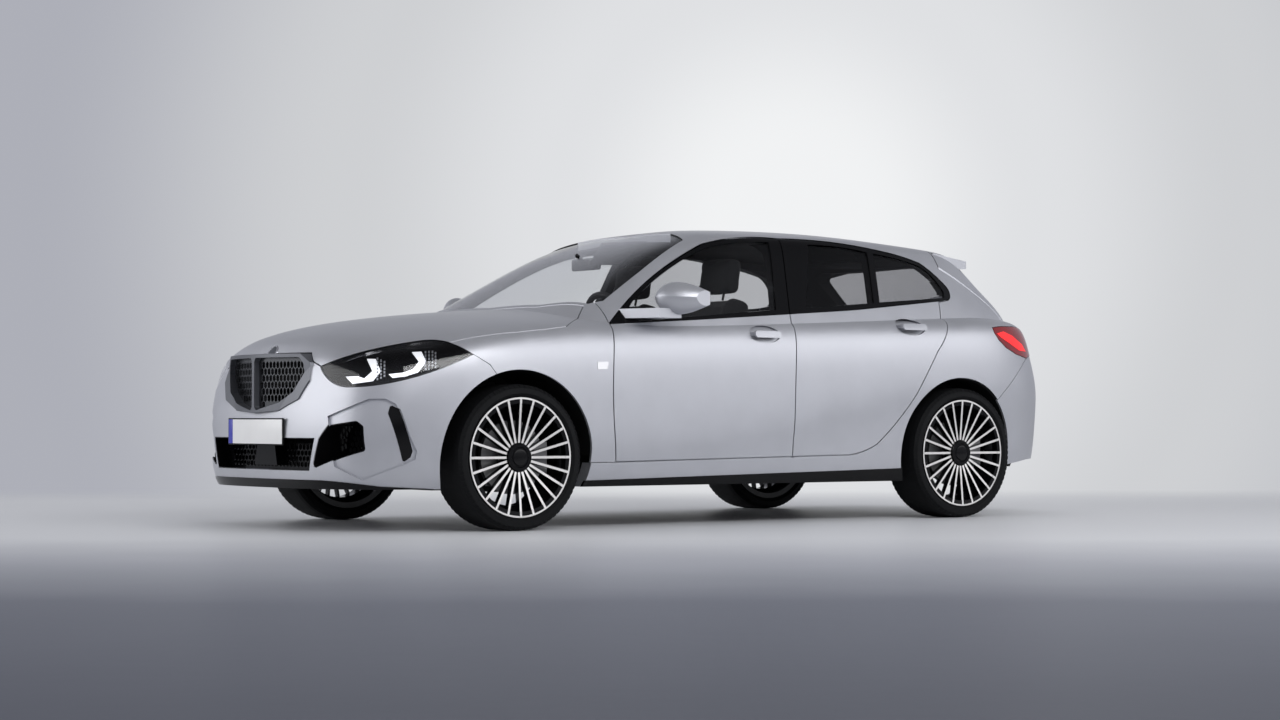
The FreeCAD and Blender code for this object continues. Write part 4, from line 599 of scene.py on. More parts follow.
@dataclass(frozen=True)
class Belt:
    """The belt line, above which the door frames are gloss black.

    Attributes:
        points: Points (x, z) of the line from front to rear.
    """

    points: Outline = ((0.785, 0.929), (0.265, 0.966), (-0.320, 1.002), (-0.758, 1.040), (-1.405, 1.106))

    def mask(self, graph: Graph) -> Value:
        """One above the belt line and zero below it.

        Args:
            graph: The material's graph.

        Returns:
            The mask.
        """
        x, _, z = graph.axes()
        height: Value | None = None
        for (x0, z0), (x1, z1) in zip(self.points, self.points[1:]):
            slope = (z1 - z0) / (x1 - x0)
            line = x * slope + (z0 - slope * x0)
            height = line if height is None else height.calc("MAXIMUM", line)
        return z > height


@dataclass(frozen=True)
class Sight:
    """The photograph's camera, which the scene's camera repeats and small pieces are placed by.

    Attributes:
        eye: The camera's place.
        yaw: Direction of view from +X, in degrees.
        pitch: Direction of view above the horizon, in degrees.
        lens: Focal length on the sensor, in millimetres.
        sensor: Width of the sensor, in millimetres.
        width: Width of the photograph in its pixels.
        height: Height of the photograph in its pixels.
    """

    eye: Point = (7.50455637, 10.35150477, 0.49860026)
    yaw: float = -125.88683
    pitch: float = 1.33096
    lens: float = 71.355
    sensor: float = 36.0
    width: float = 1280.0
    height: float = 720.0

    @property
    def aim(self) -> Vector:
        """The direction of view."""
        return heading(self.yaw, self.pitch)

    def through(self, px: float, py: float) -> Vector:
        """The direction from the eye through a pixel of the photograph.

        Args:
            px: Pixels from the left edge.
            py: Pixels from the top edge.

        Returns:
            The direction, of unit length.
        """
        aim = self.aim
        right = aim.cross(Vector((0.0, 0.0, 1.0))).normalized()
        up = right.cross(aim)
        reach = self.lens / self.sensor * self.width
        return (aim * reach + right * (px - self.width / 2) - up * (py - self.height / 2)).normalized()


def heading(yaw: float, pitch: float) -> Vector:
    """The unit vector at an angle from +X and an angle above the horizon, both in degrees."""
    turn, rise = math.radians(yaw), math.radians(pitch)
    return Vector((math.cos(turn) * math.cos(rise), math.sin(turn) * math.cos(rise), math.sin(rise)))


def between(corners: Outline, parts: Callable[[float], int]) -> list[Spot]:
    """Split the sides of a closed outline.

    Args:
        corners: Its corners in order.
        parts: The number of parts for a side of a given length.

    Returns:
        The points along it, each side's first corner among them.
    """
    found = []
    for (x0, y0), (x1, y1) in zip(corners, (*corners[1:], corners[0])):
        count = parts(math.hypot(x1 - x0, y1 - y0))
        found += [(x0 + (x1 - x0) * part / count, y0 + (y1 - y0) * part / count) for part in range(count)]
    return found


class Skin:
    """The surface of a CAD node, on which pieces are seated."""

    longest_run = 3.0

    def __init__(self, piece: bpy.types.Object) -> None:
        """Gather the node's faces.

        Args:
            piece: The node's object.
        """
        data = piece.data
        self.tree = BVHTree.FromPolygons([vertex.co.copy() for vertex in data.vertices],
                                         [list(face.vertices) for face in data.polygons])

    def hit(self, origin: Sequence[float], direction: Sequence[float]) -> Laid:
        """The first point of the surface along a ray.

        Args:
            origin: Where the ray starts.
            direction: Where it goes.

        Returns:
            The point and the surface's normal there, turned against the ray.
        """
        start, ray = Vector(origin), Vector(direction).normalized()
        place, normal, _, _ = self.tree.ray_cast(start, ray)
        if place is None:
            place, normal, _, _ = self.tree.find_nearest(start + ray * start.length)
        return place, normal if normal.dot(ray) < 0 else -normal

    def under(self, outline: Outline) -> list[Laid]:
        """Lay a closed outline of the photograph's pixels on the surface.

        Args:
            outline: The outline's corners, in pixels.

        Returns:
            The laid points and normals, in order.
        """
        sight = Sight()
        spots = between(outline, lambda length: max(1, math.ceil(length / self.longest_run)))
        return [self.hit(sight.eye, sight.through(*spot)) for spot in spots]


class Shaper:
    """Builds one mesh with bmesh operators and hands it over as a finished piece.

    Attributes:
        merge: Distance within which points of a turned piece are one.
        bevel_segments: Faces round a rounded edge.
        crease: Least angle of an edge that stays sharp, in degrees.
    """

    merge = 0.00002
    bevel_segments = 3
    crease = 35.0

    def __init__(self) -> None:
        """Start with an empty mesh."""
        self.mesh = bmesh.new()

    def box(self, centre: Point, size: Point, bevel: float = 0.0, turn: Matrix | None = None) -> "Shaper":
        """Add a box with its edges rounded.

        Args:
            centre: Its centre.
            size: Its full size along X, Y and Z.
            bevel: Radius of its edges.
            turn: A rotation about its centre.

        Returns:
            This builder.
        """
        place = Matrix.Translation(centre) @ (turn.to_4x4() if turn else Matrix.Identity(4))
        grown = bmesh.ops.create_cube(self.mesh, size=1.0, matrix=place @ Matrix.Diagonal((*size, 1.0)))
        if bevel:
            edges = list({edge for vertex in grown["verts"] for edge in vertex.link_edges})
            bmesh.ops.bevel(self.mesh, geom=edges, offset=bevel, segments=self.bevel_segments, profile=0.5,
                            affect="EDGES", material=-1)
        return self

    def turned(self, profile: Outline, centre: Point, steps: int, axis: Point) -> "Shaper":
        """Spin a profile of (offset, radius) about an axis.

        Args:
            profile: Points from one end to the other.
            centre: The origin of the offsets.
            steps: Steps round the axis.
            axis: The axis.

        Returns:
            This builder.
        """
        along = Vector(axis).normalized()
        out = along.orthogonal().normalized()
        spots = [Vector(centre) + along * offset + out * radius for offset, radius in profile]
        verts = [self.mesh.verts.new(spot) for spot in spots]
        edges = [self.mesh.edges.new(two) for two in zip(verts, verts[1:])]
        bmesh.ops.spin(self.mesh, geom=verts + edges, cent=centre, axis=along, angle=math.tau, steps=steps,
                       use_merge=True, use_duplicate=False)
        bmesh.ops.remove_doubles(self.mesh, verts=self.mesh.verts, dist=self.merge)
        return self

    def tube(self, path: Sequence[Point], radius: float, sides: int) -> "Shaper":
        """Sweep a circle along a path of straight runs with mitred corners.

        Args:
            path: The path's points.
            radius: Radius of the tube.
            sides: Sides of the tube.

        Returns:
            This builder.
        """
        points = [Vector(point) for point in path]
        rings: list[list[bmesh.types.BMVert]] = []
        normal: Vector | None = None
        for before, point, after in zip(points[:1] + points, points, points[1:] + points[-1:]):
            along = ((point - before).normalized() + (after - point).normalized()).normalized()
            level = along.orthogonal() if normal is None else normal - along * normal.dot(along)
            normal = level.normalized()
            turn = Matrix((normal, along.cross(normal), along)).transposed().to_4x4()
            circle = bmesh.ops.create_circle(self.mesh, segments=sides, radius=radius, cap_ends=False,
                                             matrix=Matrix.Translation(point) @ turn)
            rings.append(circle["verts"])
        for pair in zip(rings, rings[1:]):
            edges = [edge for ring in pair for vertex in ring for edge in vertex.link_edges
                     if edge.other_vert(vertex) in ring]
            bmesh.ops.bridge_loops(self.mesh, edges=list(dict.fromkeys(edges)))
        for ring in (rings[0], rings[-1]):
            self.mesh.faces.new(ring)
        return self

    def inlay(self, laid: Sequence[Laid], rise: float, depth: float) -> "Shaper":
        """A flat piece with a laid outline, let into the surface that it follows.

        Args:
            laid: Points and normals of the outline on the surface.
            rise: How far it stands proud.
            depth: Its thickness.

        Returns:
            This builder.
        """
        normal = sum((each for _, each in laid), Vector()).normalized()
        outline = [self.mesh.verts.new(place + normal * (rise - depth)) for place, _ in laid]
        shell = bmesh.ops.triangulate(self.mesh, faces=[self.mesh.faces.new(outline)])["faces"]
        pushed = bmesh.ops.extrude_face_region(self.mesh, geom=shell)["geom"]
        verts = [item for item in pushed if isinstance(item, bmesh.types.BMVert)]
        bmesh.ops.translate(self.mesh, verts=verts, vec=normal * depth)
        return self

    def both_sides(self) -> "Shaper":
        """Repeat what is built so far on the other side of the car."""
        geometry = [*self.mesh.verts, *self.mesh.edges, *self.mesh.faces]
        copied = bmesh.ops.duplicate(self.mesh, geom=geometry)["geom"]
        verts = [item for item in copied if isinstance(item, bmesh.types.BMVert)]
        faces = [item for item in copied if isinstance(item, bmesh.types.BMFace)]
        bmesh.ops.scale(self.mesh, vec=(1.0, -1.0, 1.0), verts=verts)
        bmesh.ops.reverse_faces(self.mesh, faces=faces)
        return self

    def piece(self, name: str, body: str, material: bpy.types.Material, slot: str, smooth: bool) -> None:
        """Finish the mesh as an object that rides on a body.

        Args:
            name: The piece's name.
            body: The CAD body it moves with.
            material: Its material.
            slot: The record's material slot; not used.
            smooth: Whether its faces are smoothly shaded.
        """
        bmesh.ops.recalc_face_normals(self.mesh, faces=self.mesh.faces)
        made = placed(name, self.mesh)
        data = made.data
        data.materials.append(material)
        if smooth:
            data.shade_smooth()
            data.set_sharp_from_angle(angle=math.radians(self.crease))
        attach(made, body)
        LOG.info("piece %s on %s, %d faces", name, body, len(data.polygons))


def linked(name: str, data: bpy.types.ID) -> bpy.types.Object:
    """Put a new object with some data into the scene.

    Args:
        name: The object's name.
        data: Its data.

    Returns:
        The object.
    """
    made = bpy.data.objects.new(name, data)
    bpy.context.scene.collection.objects.link(made)
    return made


def placed(name: str, mesh: bmesh.types.BMesh) -> bpy.types.Object:
    """Turn a built mesh into an object of the scene, and free the mesh.

    Args:
        name: The object's name.
        mesh: The mesh.

    Returns:
        The object.
    """
    data = bpy.data.meshes.new(name)
    mesh.to_mesh(data)
    mesh.free()
    return linked(name, data)


@dataclass
class SubAssembly:
    """A group of the car's pieces that are built and dressed together.

    Attributes:
        frame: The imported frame.
        library: The materials.
    """

    frame: dict
    library: Library

    @property
    def nodes(self) -> dict[str, bpy.types.Object]:
        """The CAD nodes by name."""
        return self.frame["nodes"]

    def skin(self, node: str) -> Skin:
        """The surface of a CAD node."""
        return Skin(self.nodes[node])

    def dress(self, names: Iterable[str], look: Finish | Pane | bpy.types.Material) -> None:
        """Give CAD nodes a material.

        Args:
            names: The nodes' names.
            look: A finish, a pane's finish or a material.
        """
        if isinstance(look, Finish):
            look = self.library.plain(look)
        elif isinstance(look, Pane):
            look = self.library.pane(look)
        for name in names:
            data = self.nodes[name].data
            data.materials.clear()
            data.materials.append(look)

    def add(self, shape: Shaper, name: str, body: str, finish: Finish, slot: str,
            smooth: bool = True) -> None:
        """Hand a shape over as a piece with one finish; the arguments are those of Shaper.piece."""
        shape.piece(name, body, self.library.plain(finish), slot, smooth)

    def build(self) -> None:
        """Build and dress everything in the group."""
        raise NotImplementedError


@dataclass
class Bodywork(SubAssembly):
    """The painted panels, the doors with their black frames and the parts under them.

    Attributes:
        lined: Panels that are painted outside and lined inside.
        belt: The belt line.
        cover_half_width: Half the width of the flat cover in the centre intake.
        cover_front: Station behind which the intake's mesh is black there too.
        cabin_front: Station of the lining's front end.
        cabin_floor: Height of its lower end.
        lining_height: Height above which faces that look down are lined.
        tail_station: Station behind which faces that look forward are lined.
        inward: Least product of side and normal on faces that look inward.
        down_tilt: Least slope of faces that look down.
        ahead_tilt: Least slope of faces that look forward.
    """

    lined: Sequence[str] = ("left_body_side", "right_body_side", "roof", "tailgate")
    belt: Belt = Belt()
    cover_half_width: float = 0.110
    cover_front: float = 2.120
    cabin_front: float = 0.80
    cabin_floor: float = 0.26
    lining_height: float = 1.22
    tail_station: float = -1.40
    inward: float = 0.02
    down_tilt: float = 0.35
    ahead_tilt: float = 0.25

    def inner(self, graph: Graph) -> Value:
        """One on the faces that look into the cabin and the boot, and zero outside.

        Args:
            graph: The material's graph.

        Returns:
            The mask.
        """
        x, y, z = graph.axes()
        nx, ny, nz = graph.axes(graph.normal)
        sideways = y * ny < -self.inward
        down = (nz < -self.down_tilt) * (z > self.lining_height)
        ahead = (nx > self.ahead_tilt) * (x < self.tail_station)
        looks = sideways.calc("MAXIMUM", down.calc("MAXIMUM", ahead))
        return looks * ((x < self.cabin_front) * (z > self.cabin_floor))

    def panel_paint(self, graph: Graph) -> None:
        """Paint outside and dark trim on the cabin's side."""
        graph.end(graph.mixed(self.inner(graph), graph.shader(PAINT), graph.shader(CABIN_TRIM)))

    def door_paint(self, graph: Graph) -> None:
        """Paint below the belt line, gloss black above it and dark trim on the cabin's side."""
        outside = graph.mixed(self.belt.mask(graph), graph.shader(PAINT), graph.shader(GLOSS_BLACK))
        graph.end(graph.mixed(self.inner(graph), outside, graph.shader(CABIN_TRIM)))

    def intake_paint(self, graph: Graph) -> None:
        """Satin grey on the flat cover in the middle of the centre intake and gloss black on the meshes.

        Args:
            graph: The material's graph.
        """
        x, y, _ = graph.axes()
        mask = (abs(y) < self.cover_half_width) * (x > self.cover_front)
        graph.end(graph.mixed(mask, graph.shader(GLOSS_BLACK), graph.shader(SATIN_GREY)))

    def build(self) -> None:
        """Dress the panels."""
        self.dress(("front_wings", "front_bumper", "rear_bumper", "bonnet"), PAINT)
        self.dress(self.lined, self.library.custom("lined_panel", self.panel_paint))
        doors = [f"{side}_{place}_door" for side, _ in SIDES for place in ("front", "rear")]
        self.dress(doors, self.library.custom("door_paint", self.door_paint))
        self.dress(("floor_pan", "front_structure", "front_suspension", "rear_suspension"), UNDERBODY)
        for name, finish in (("grille_surround", GRILLE_GREY), ("arch_liners", MATT_BLACK),
                             ("engine_block", ENGINE_ALLOY), ("exhaust", STEEL), ("lower_trims", GLOSS_BLACK),
                             ("grille_mesh", MESH_BLACK)):
            self.dress((name,), finish)
        self.dress(("intake_meshes",), self.library.custom("intake_paint", self.intake_paint))


@dataclass
class Glazing(SubAssembly):
    """The windows, and the dark field behind the top of the windscreen.

    Attributes:
        field_px: Outline of the field, in pixels of the photograph.
        field_depth: Thickness of the field.
        field_under: How far it lies under the windscreen's outer face.
    """

    field_px: Outline = ((601.0, 240.5), (646.0, 238.8), (619.0, 262.0), (588.0, 262.0))
    field_depth: float = 0.004
    field_under: float = 0.012

    def build(self) -> None:
        """Dress the panes and set the dark field under the windscreen."""
        self.dress(("windscreen",), CLEAR_PANE)
        self.dress(("left_front_glass", "right_front_glass"), SIDE_PANE)
        self.dress(("rear_window", "left_rear_glass", "right_rear_glass"), DARK_PANE)
        laid = self.skin("windscreen").under(self.field_px)
        shape = Shaper().inlay(laid, -self.field_under, self.field_depth)
        self.add(shape, "windscreen_field", "body", MATT_BLACK, "cabin_plastic", False)


@dataclass
class Wheels(SubAssembly):
    """Rims with turned faces and black flanks, tyres with shoulder lugs, discs and hub caps.

    Attributes:
        sizes: Sizes that the tread shares.
        face: How far a hub's outer face lies from the wheel's middle.
        hub_radius: Radius of the hub.
        lip_radius: Radius inside which a rim's lip is black between the spokes.
        spoke_face: Least distance of a turned face from the wheel's middle.
        spoke_width: Width of a spoke.
        spoke_count: Spokes of a rim.
        outward: Least slope of the faces that are turned.
        cap_radius: Radius of the hub cap.
        cap_height: Thickness of the hub cap.
        cap_steps: Steps round the hub cap.
        cap_profile: Points of its section, as shares of its thickness and of its radius.
        lug_count: Lugs round one shoulder.
        lug_radius: Radius of the lugs' middle.
        lug_offset: Distance of the lugs from the wheel's middle.
        lug_lean: Slant of the shoulder that they lie on, in degrees.
        lug_size: Length round the tyre, width across the shoulder and thickness of a lug.
    """

    sizes: TyreSizes = TyreSizes()
    face: float = 0.097
    hub_radius: float = 0.066
    lip_radius: float = 0.2600
    spoke_face: float = 0.050
    spoke_width: float = 0.011
    spoke_count: int = 24
    outward: float = 0.85
    cap_radius: float = 0.062
    cap_height: float = 0.008
    cap_steps: int = 48
    cap_profile: Outline = ((0.0, 1.0), (0.6, 1.0), (1.0, 0.95), (1.0, 0.76), (0.4, 0.70), (0.4, 0.62),
                            (0.9, 0.58), (1.0, 0.50), (1.0, 0.0))
    lug_count: int = 72
    lug_radius: float = 0.3165
    lug_offset: float = 0.1085
    lug_lean: float = 45.0
    lug_size: Point = (0.0160, 0.0190, 0.0040)

    def centres(self) -> list[tuple[str, Vector, float]]:
        """Each wheel's name, centre and outward side."""
        axles = (("front", self.sizes.front_axle), ("rear", self.sizes.rear_axle))
        return [(f"{side}_{place}", Vector((x, sign * self.sizes.track, self.sizes.height)), sign)
                for place, x in axles for side, sign in SIDES]

    def rim_paint(self, graph: Graph) -> None:
        """Turned metal on the outward faces of the spokes and the outer ring, gloss black on the rest.

        Args:
            graph: The material's graph.
        """
        _, side, _ = graph.axes(graph.normal)
        _, y, _ = graph.axes()
        ahead, above, radius = self.sizes.polar(graph)
        facing = (abs(side) > self.outward) * (abs(y) > self.sizes.track + self.spoke_face)
        turn = ahead.calc("ARCTAN2", above) * (self.spoke_count / math.tau)
        beside = abs(turn - turn.calc("ROUND")) * radius * (math.tau / self.spoke_count)
        spoke = (radius > self.hub_radius) * (beside < self.spoke_width / 2)
        mask = facing * (radius > self.lip_radius).calc("MAXIMUM", spoke)
        graph.end(graph.mixed(mask, graph.shader(GLOSS_BLACK), graph.shader(ALLOY)))

    def cap(self, name: str, centre: Vector, sign: float) -> None:
        """Close a hub with a dished black cap.

        Args:
            name: The wheel's name.
            centre: The wheel's centre.
            sign: The outward side.
        """
        profile = [(high * self.cap_height, wide * self.cap_radius) for high, wide in self.cap_profile]
        place = centre + Vector((0.0, sign * self.face, 0.0))
        shape = Shaper().turned(profile, place, self.cap_steps, (0.0, sign, 0.0))
        self.add(shape, name + "_hub_cap", name + "_wheel", GLOSS_BLACK, "cabin_plastic")

    def lugs(self, name: str, centre: Vector) -> None:
        """Stand short lugs round both shoulders of a tyre.

        Args:
            name: The wheel's name.
            centre: The wheel's centre.
        """
        shape = Shaper()
        for number in range(self.lug_count):
            angle = math.tau * number / self.lug_count
            round_axle = Matrix.Rotation(math.pi / 2 - angle, 3, "Y")
            for _, side in SIDES:
                lean = Matrix.Rotation(math.radians(-side * self.lug_lean), 3, "X")
                place = round_axle @ Vector((0.0, side * self.lug_offset, self.lug_radius))
                shape.box(centre + place, self.lug_size, 0.0, round_axle @ lean)
        self.add(shape, name + "_shoulder_lugs", name + "_wheel", RUBBER, "tyre", False)

    def build(self) -> None:
        """Dress the wheels and add caps and lugs."""
        names = [name for name, _, _ in self.centres()]
        rims = self.library.custom("rim_paint", self.rim_paint)
        for part, look in (("_rim", rims), ("_tyre", RUBBER), ("_brake_disc", DISC_STEEL)):
            self.dress([name + part for name in names], look)
        self.dress(("left_front_upright", "right_front_upright", "rear_uprights"), CAST_IRON)
        for name, centre, sign in self.centres():
            self.cap(name, centre, sign)
            self.lugs(name, centre)


@dataclass
class Lamps(SubAssembly):
    """Headlamps with their bright angled lights, and red tail lamps with a light bar.

    Outlines are in pixels of the photograph, laid on the lamp that they belong to.

    Attributes:
        inner_light: Outline of a headlamp's inner light.
        outer_light: Outline of its outer light.
        tail_light: Outline of the light in a tail lamp.
        chrome_line: Path of the bright line along the top of a headlamp.
        facet_columns: Place across, top and bottom of each column of small facets.
        facet_step: Spacing of the facets in a column.
        facet_size: Width and height of a facet.
        facet_skew: How far a facet's outer side is raised, as a share of half its height.
        light_rise: How far lights and facets stand proud.
        light_depth: Their thickness.
        line_radius: Radius of the bright line.
        line_sides: Sides of the bright line.
        gate_bar: Corners (y, z) of the light bar in the tailgate's lamp, in metres.
        gate_parts: Parts of each of its sides.
    """

    inner_light: Outline = ((345.8, 377.0), (358.0, 376.5), (364.5, 378.8), (372.5, 371.5), (367.0, 359.2),
                            (375.8, 359.3), (380.8, 371.5), (373.0, 381.2), (352.5, 384.0))
    outer_light: Outline = ((388.8, 374.5), (403.5, 373.0), (413.0, 369.5), (419.0, 362.0), (412.0, 352.5),
                            (421.5, 352.0), (426.2, 362.0), (418.0, 372.5), (405.0, 376.5), (392.5, 378.0))
    tail_light: Outline = ((997.0, 333.5), (1003.0, 331.5), (1012.0, 336.0), (1021.5, 344.5), (1025.2, 351.5),
                           (1019.0, 350.5), (1009.0, 343.0), (1001.0, 337.5))
    chrome_line: Outline = ((334.5, 365.6), (346.0, 361.0), (362.0, 355.6), (380.0, 351.8), (406.0, 348.8),
                            (432.5, 347.2))
    facet_columns: Sequence[Point] = ((377.5, 359.0, 380.0), (381.0, 361.0, 379.5), (384.5, 362.5, 379.0),
                                      (425.5, 352.5, 371.0), (429.0, 352.3, 370.0), (432.5, 352.2, 369.0),
                                      (435.5, 353.5, 368.0))
    facet_step: float = 3.4
    facet_size: Spot = (1.6, 2.0)
    facet_skew: float = 0.2
    light_rise: float = 0.0022
    light_depth: float = 0.0030
    line_radius: float = 0.0011
    line_sides: int = 8
    gate_bar: Outline = ((0.500, 0.893), (0.640, 0.893), (0.640, 0.912), (0.500, 0.912))
    gate_parts: int = 6

    def patches(self, name: str, node: str, outlines: Sequence[Outline], finish: Finish, slot: str) -> None:
        """Let flat pieces into a lamp's surface on both sides of the car.

        Args:
            name: The piece's name.
            node: The CAD node that they lie on.
            outlines: Their outlines, in pixels.
            finish: Their finish.
            slot: The record's material slot; not used.
        """
        skin = self.skin(node)
        shape = Shaper()
        for outline in outlines:
            shape.inlay(skin.under(outline), self.light_rise, self.light_depth)
        self.add(shape.both_sides(), name, "body", finish, slot, False)

    def facets(self) -> list[Outline]:
        """Outlines of the small facets beside the lights."""
        wide, high = self.facet_size[0] / 2, self.facet_size[1] / 2
        skew = high * self.facet_skew
        found = []
        for px, top, bottom in self.facet_columns:
            for number in range(int((bottom - top) / self.facet_step) + 1):
                py = top + number * self.facet_step
                found.append(((px - wide, py - high), (px + wide, py - high - skew),
                              (px + wide, py + high - skew), (px - wide, py + high)))
        return found

    def line(self) -> None:
        """Run a thin bright line along the top of each headlamp."""
        skin, sight = self.skin("headlamps"), Sight()
        laid = [skin.hit(sight.eye, sight.through(*spot)) for spot in self.chrome_line]
        path = [place + normal * self.line_radius for place, normal in laid]
        shape = Shaper().tube(path, self.line_radius, self.line_sides)
        self.add(shape.both_sides(), "headlamp_lines", "body", CHROME, "rim_alloy")

    def bar(self) -> None:
        """Carry the light bar on across the tailgate's lamps."""
        skin = self.skin("tailgate_lamps")
        spots = between(self.gate_bar, lambda length: self.gate_parts)
        laid = [skin.hit((-CLEAR_OF_CAR, y, z), FORWARD) for y, z in spots]
        shape = Shaper().inlay(laid, self.light_rise, self.light_depth).both_sides()
        self.add(shape, "tailgate_light_bars", "tailgate", LIGHT_RED, "lamp_red", False)

    def build(self) -> None:
        """Dress the lamps and set their lights."""
        self.dress(("headlamps",), LAMP_BOWL)
        self.dress(("headlamp_lenses",), LENS_PANE)
        self.dress(("tail_lamps", "tailgate_lamps"), LAMP_RED)
        lights = (self.inner_light, self.outer_light)
        self.patches("headlamp_lights", "headlamps", lights, LIGHT_WHITE, "clear_glass")
        # The facets glow with a painted glint.
        self.patches("headlamp_facets", "headlamps", self.facets(), FACET_PAINTED_GLINT, "rim_alloy")
        self.line()
        self.patches("tail_light_bars", "tail_lamps", (self.tail_light,), LIGHT_RED, "lamp_red")
        self.bar()


@dataclass(frozen=True)
class Pad:
    """One upholstered piece.

    Attributes:
        name: Its name.
        centre: Its centre on the left side of the car or in the middle.
        size: Its length along X, width along Y and height along Z.
        lean: How far its top leans back, in degrees.
        bolster: How far its sides stand up beside its middle.
        pressure: Pressure of its filling.
        seams: Places of the sewn channels across its long way, as shares of it.
    """

    name: str
    centre: Point
    size: Point
    lean: float
    bolster: float = 0.0
    pressure: float = 3.0
    seams: Sequence[float] = ()

    @property
    def upright(self) -> bool:
        """Whether it stands up, as a backrest does, and doesn't lie."""
        return self.size[2] > self.size[0]


@dataclass
class Cabin(SubAssembly):
    """Dashboard, steering wheel, interior mirror and the upholstered seats.

    Attributes:
        voxel: Grain of the pads' blanks.
        cap: How far cloth may move from its blank.
        seam_depth: Depth of a sewn channel.
        seam_width: Width of a sewn channel.
        corner: Radius of a blank's edges, as a share of its least size.
        corner_steps: Faces round a blank's edge.
        long_edge: Least length of the edges that are split, as a share of a blank's least size.
        splits: Splits of a long edge.
        bolster_start: Where a bolster begins, as a share of half the width.
        bolster_power: How steeply it rises.
        cloth_quality: Steps of the cloth in a frame.
        cloth_frames: Frames until the cloth is at rest.
        front_pads: Pads of the left front seat, which the right one mirrors.
        rear_pads: Pads of the rear bench.
        seat_base: Centre and size of the left seat's plinth.
        bench_base: Centre and size of the bench's plinth.
        plinth_edge: Radius of the plinths' edges.
        post_foot: Foot of the post in the middle of the left headrest.
        post_offset: How far each of the two posts stands from there.
        post_rise: How far and where a post rises.
        post_radius: Radius of a post.
        rod_sides: Sides of posts and of the mirror's arm.
        mirror_place: Centre of the interior mirror.
        mirror_size: Its size.
        mirror_edge: Radius of its edges.
        arm: Start and end of its arm from its centre.
        arm_radius: Radius of the arm.
    """

    voxel: float = 0.009
    cap: float = 0.010
    seam_depth: float = 0.006
    seam_width: float = 0.010
    corner: float = 0.34
    corner_steps: int = 4
    long_edge: float = 0.8
    splits: int = 7
    bolster_start: float = 0.62
    bolster_power: float = 0.8
    cloth_quality: int = 4
    cloth_frames: int = 14
    front_pads: Sequence[Pad] = (
        Pad("front_cushion", (0.190, 0.370, 0.490), (0.500, 0.460, 0.120), -4.0, 0.030, 3.0, (0.36, 0.66)),
        Pad("front_backrest", (-0.112, 0.370, 0.815), (0.110, 0.450, 0.560), -15.0, 0.030, 3.0, (0.30, 0.62)),
        Pad("front_headrest", (-0.208, 0.370, 1.205), (0.085, 0.250, 0.170), -8.0, 0.0, 2.0))
    rear_pads: Sequence[Pad] = (
        Pad("rear_bench", (-0.580, 0.0, 0.475), (0.430, 1.220, 0.120), -4.0, 0.0, 3.0, (0.5,)),
        Pad("rear_backrest", (-0.905, 0.0, 0.790), (0.090, 1.220, 0.470), -19.0, 0.0, 3.0, (0.35, 0.66)))
    seat_base: tuple[Point, Point] = ((0.190, 0.370, 0.330), (0.400, 0.380, 0.200))
    bench_base: tuple[Point, Point] = ((-0.600, 0.0, 0.330), (0.360, 1.180, 0.180))
    plinth_edge: float = 0.02
    post_foot: Point = (-0.178, 0.370, 1.085)
    post_offset: float = 0.06
    post_rise: Point = (-0.012, 0.0, 0.050)
    post_radius: float = 0.006
    rod_sides: int = 10
    mirror_place: Point = (0.345, 0.0, 1.265)
    mirror_size: Point = (0.030, 0.230, 0.060)
    mirror_edge: float = 0.012
    arm: tuple[Point, Point] = ((0.02, 0.0, 0.02), (0.060, 0.0, 0.045))
    arm_radius: float = 0.009

    def form(self, pad: Pad) -> bpy.types.Object:
        """A pad's blank: a rounded block with its sides raised.

        Args:
            pad: The pad.

        Returns:
            The blank.
        """
        mesh = bmesh.new()
        bmesh.ops.create_cube(mesh, size=1.0, matrix=Matrix.Diagonal((*pad.size, 1.0)))
        bmesh.ops.bevel(mesh, geom=mesh.edges[:], offset=min(pad.size) * self.corner,
                        segments=self.corner_steps, profile=0.5, affect="EDGES", material=-1)
        cuts = [edge for edge in mesh.edges if edge.calc_length() > min(pad.size) * self.long_edge]
        bmesh.ops.subdivide_edges(mesh, edges=cuts, cuts=self.splits, use_grid_fill=True)
        out = 0 if pad.upright else 2
        for vertex in mesh.verts:
            side = abs(vertex.co.y) / (pad.size[1] / 2)
            beyond = max(0.0, (side - self.bolster_start) / (1.0 - self.bolster_start))
            if vertex.co[out] > 0:
                vertex.co[out] += pad.bolster * beyond ** self.bolster_power
        place = Matrix.Translation(pad.centre) @ Matrix.Rotation(math.radians(pad.lean), 4, "Y")
        bmesh.ops.transform(mesh, matrix=place, verts=mesh.verts)
        bmesh.ops.recalc_face_normals(mesh, faces=mesh.faces)
        return placed(pad.name, mesh)

    def settle(self, thing: bpy.types.Object, kind: str, **values: object) -> None:
        """Put one modifier on a piece and bake it in.

        Args:
            thing: The piece.
            kind: The modifier's type.
            **values: Its settings.
        """
        made = thing.modifiers.new(kind.lower(), kind)
        for key, value in values.items():
            setattr(made, key, value)
        self.bake(thing)

    def bake(self, thing: bpy.types.Object) -> None:
        """Write a piece's shape with its modifiers into its mesh and drop them.

        Args:
            thing: The piece.
        """
        shape = bpy.data.meshes.new_from_object(thing.evaluated_get(bpy.context.evaluated_depsgraph_get()))
        old = thing.data
        thing.modifiers.clear()
        thing.data = shape
        bpy.data.meshes.remove(old)

    def stuffed(self, pad: Pad) -> bpy.types.Object:
        """A pad blown up by cloth simulation, with its sewn channels drawn in.

        Args:
            pad: The pad.

        Returns:
            The finished pad.
        """
        made = self.form(pad)
        self.settle(made, "REMESH", mode="VOXEL", voxel_size=self.voxel, use_smooth_shade=True)
        self.blow(made, pad)
        self.sew(made, pad)
        self.settle(made, "SUBSURF", levels=1, render_levels=1)
        made.data.materials.clear()
        made.data.materials.append(self.library.plain(SEAT_CLOTH))
        made.data.shade_smooth()
        return made

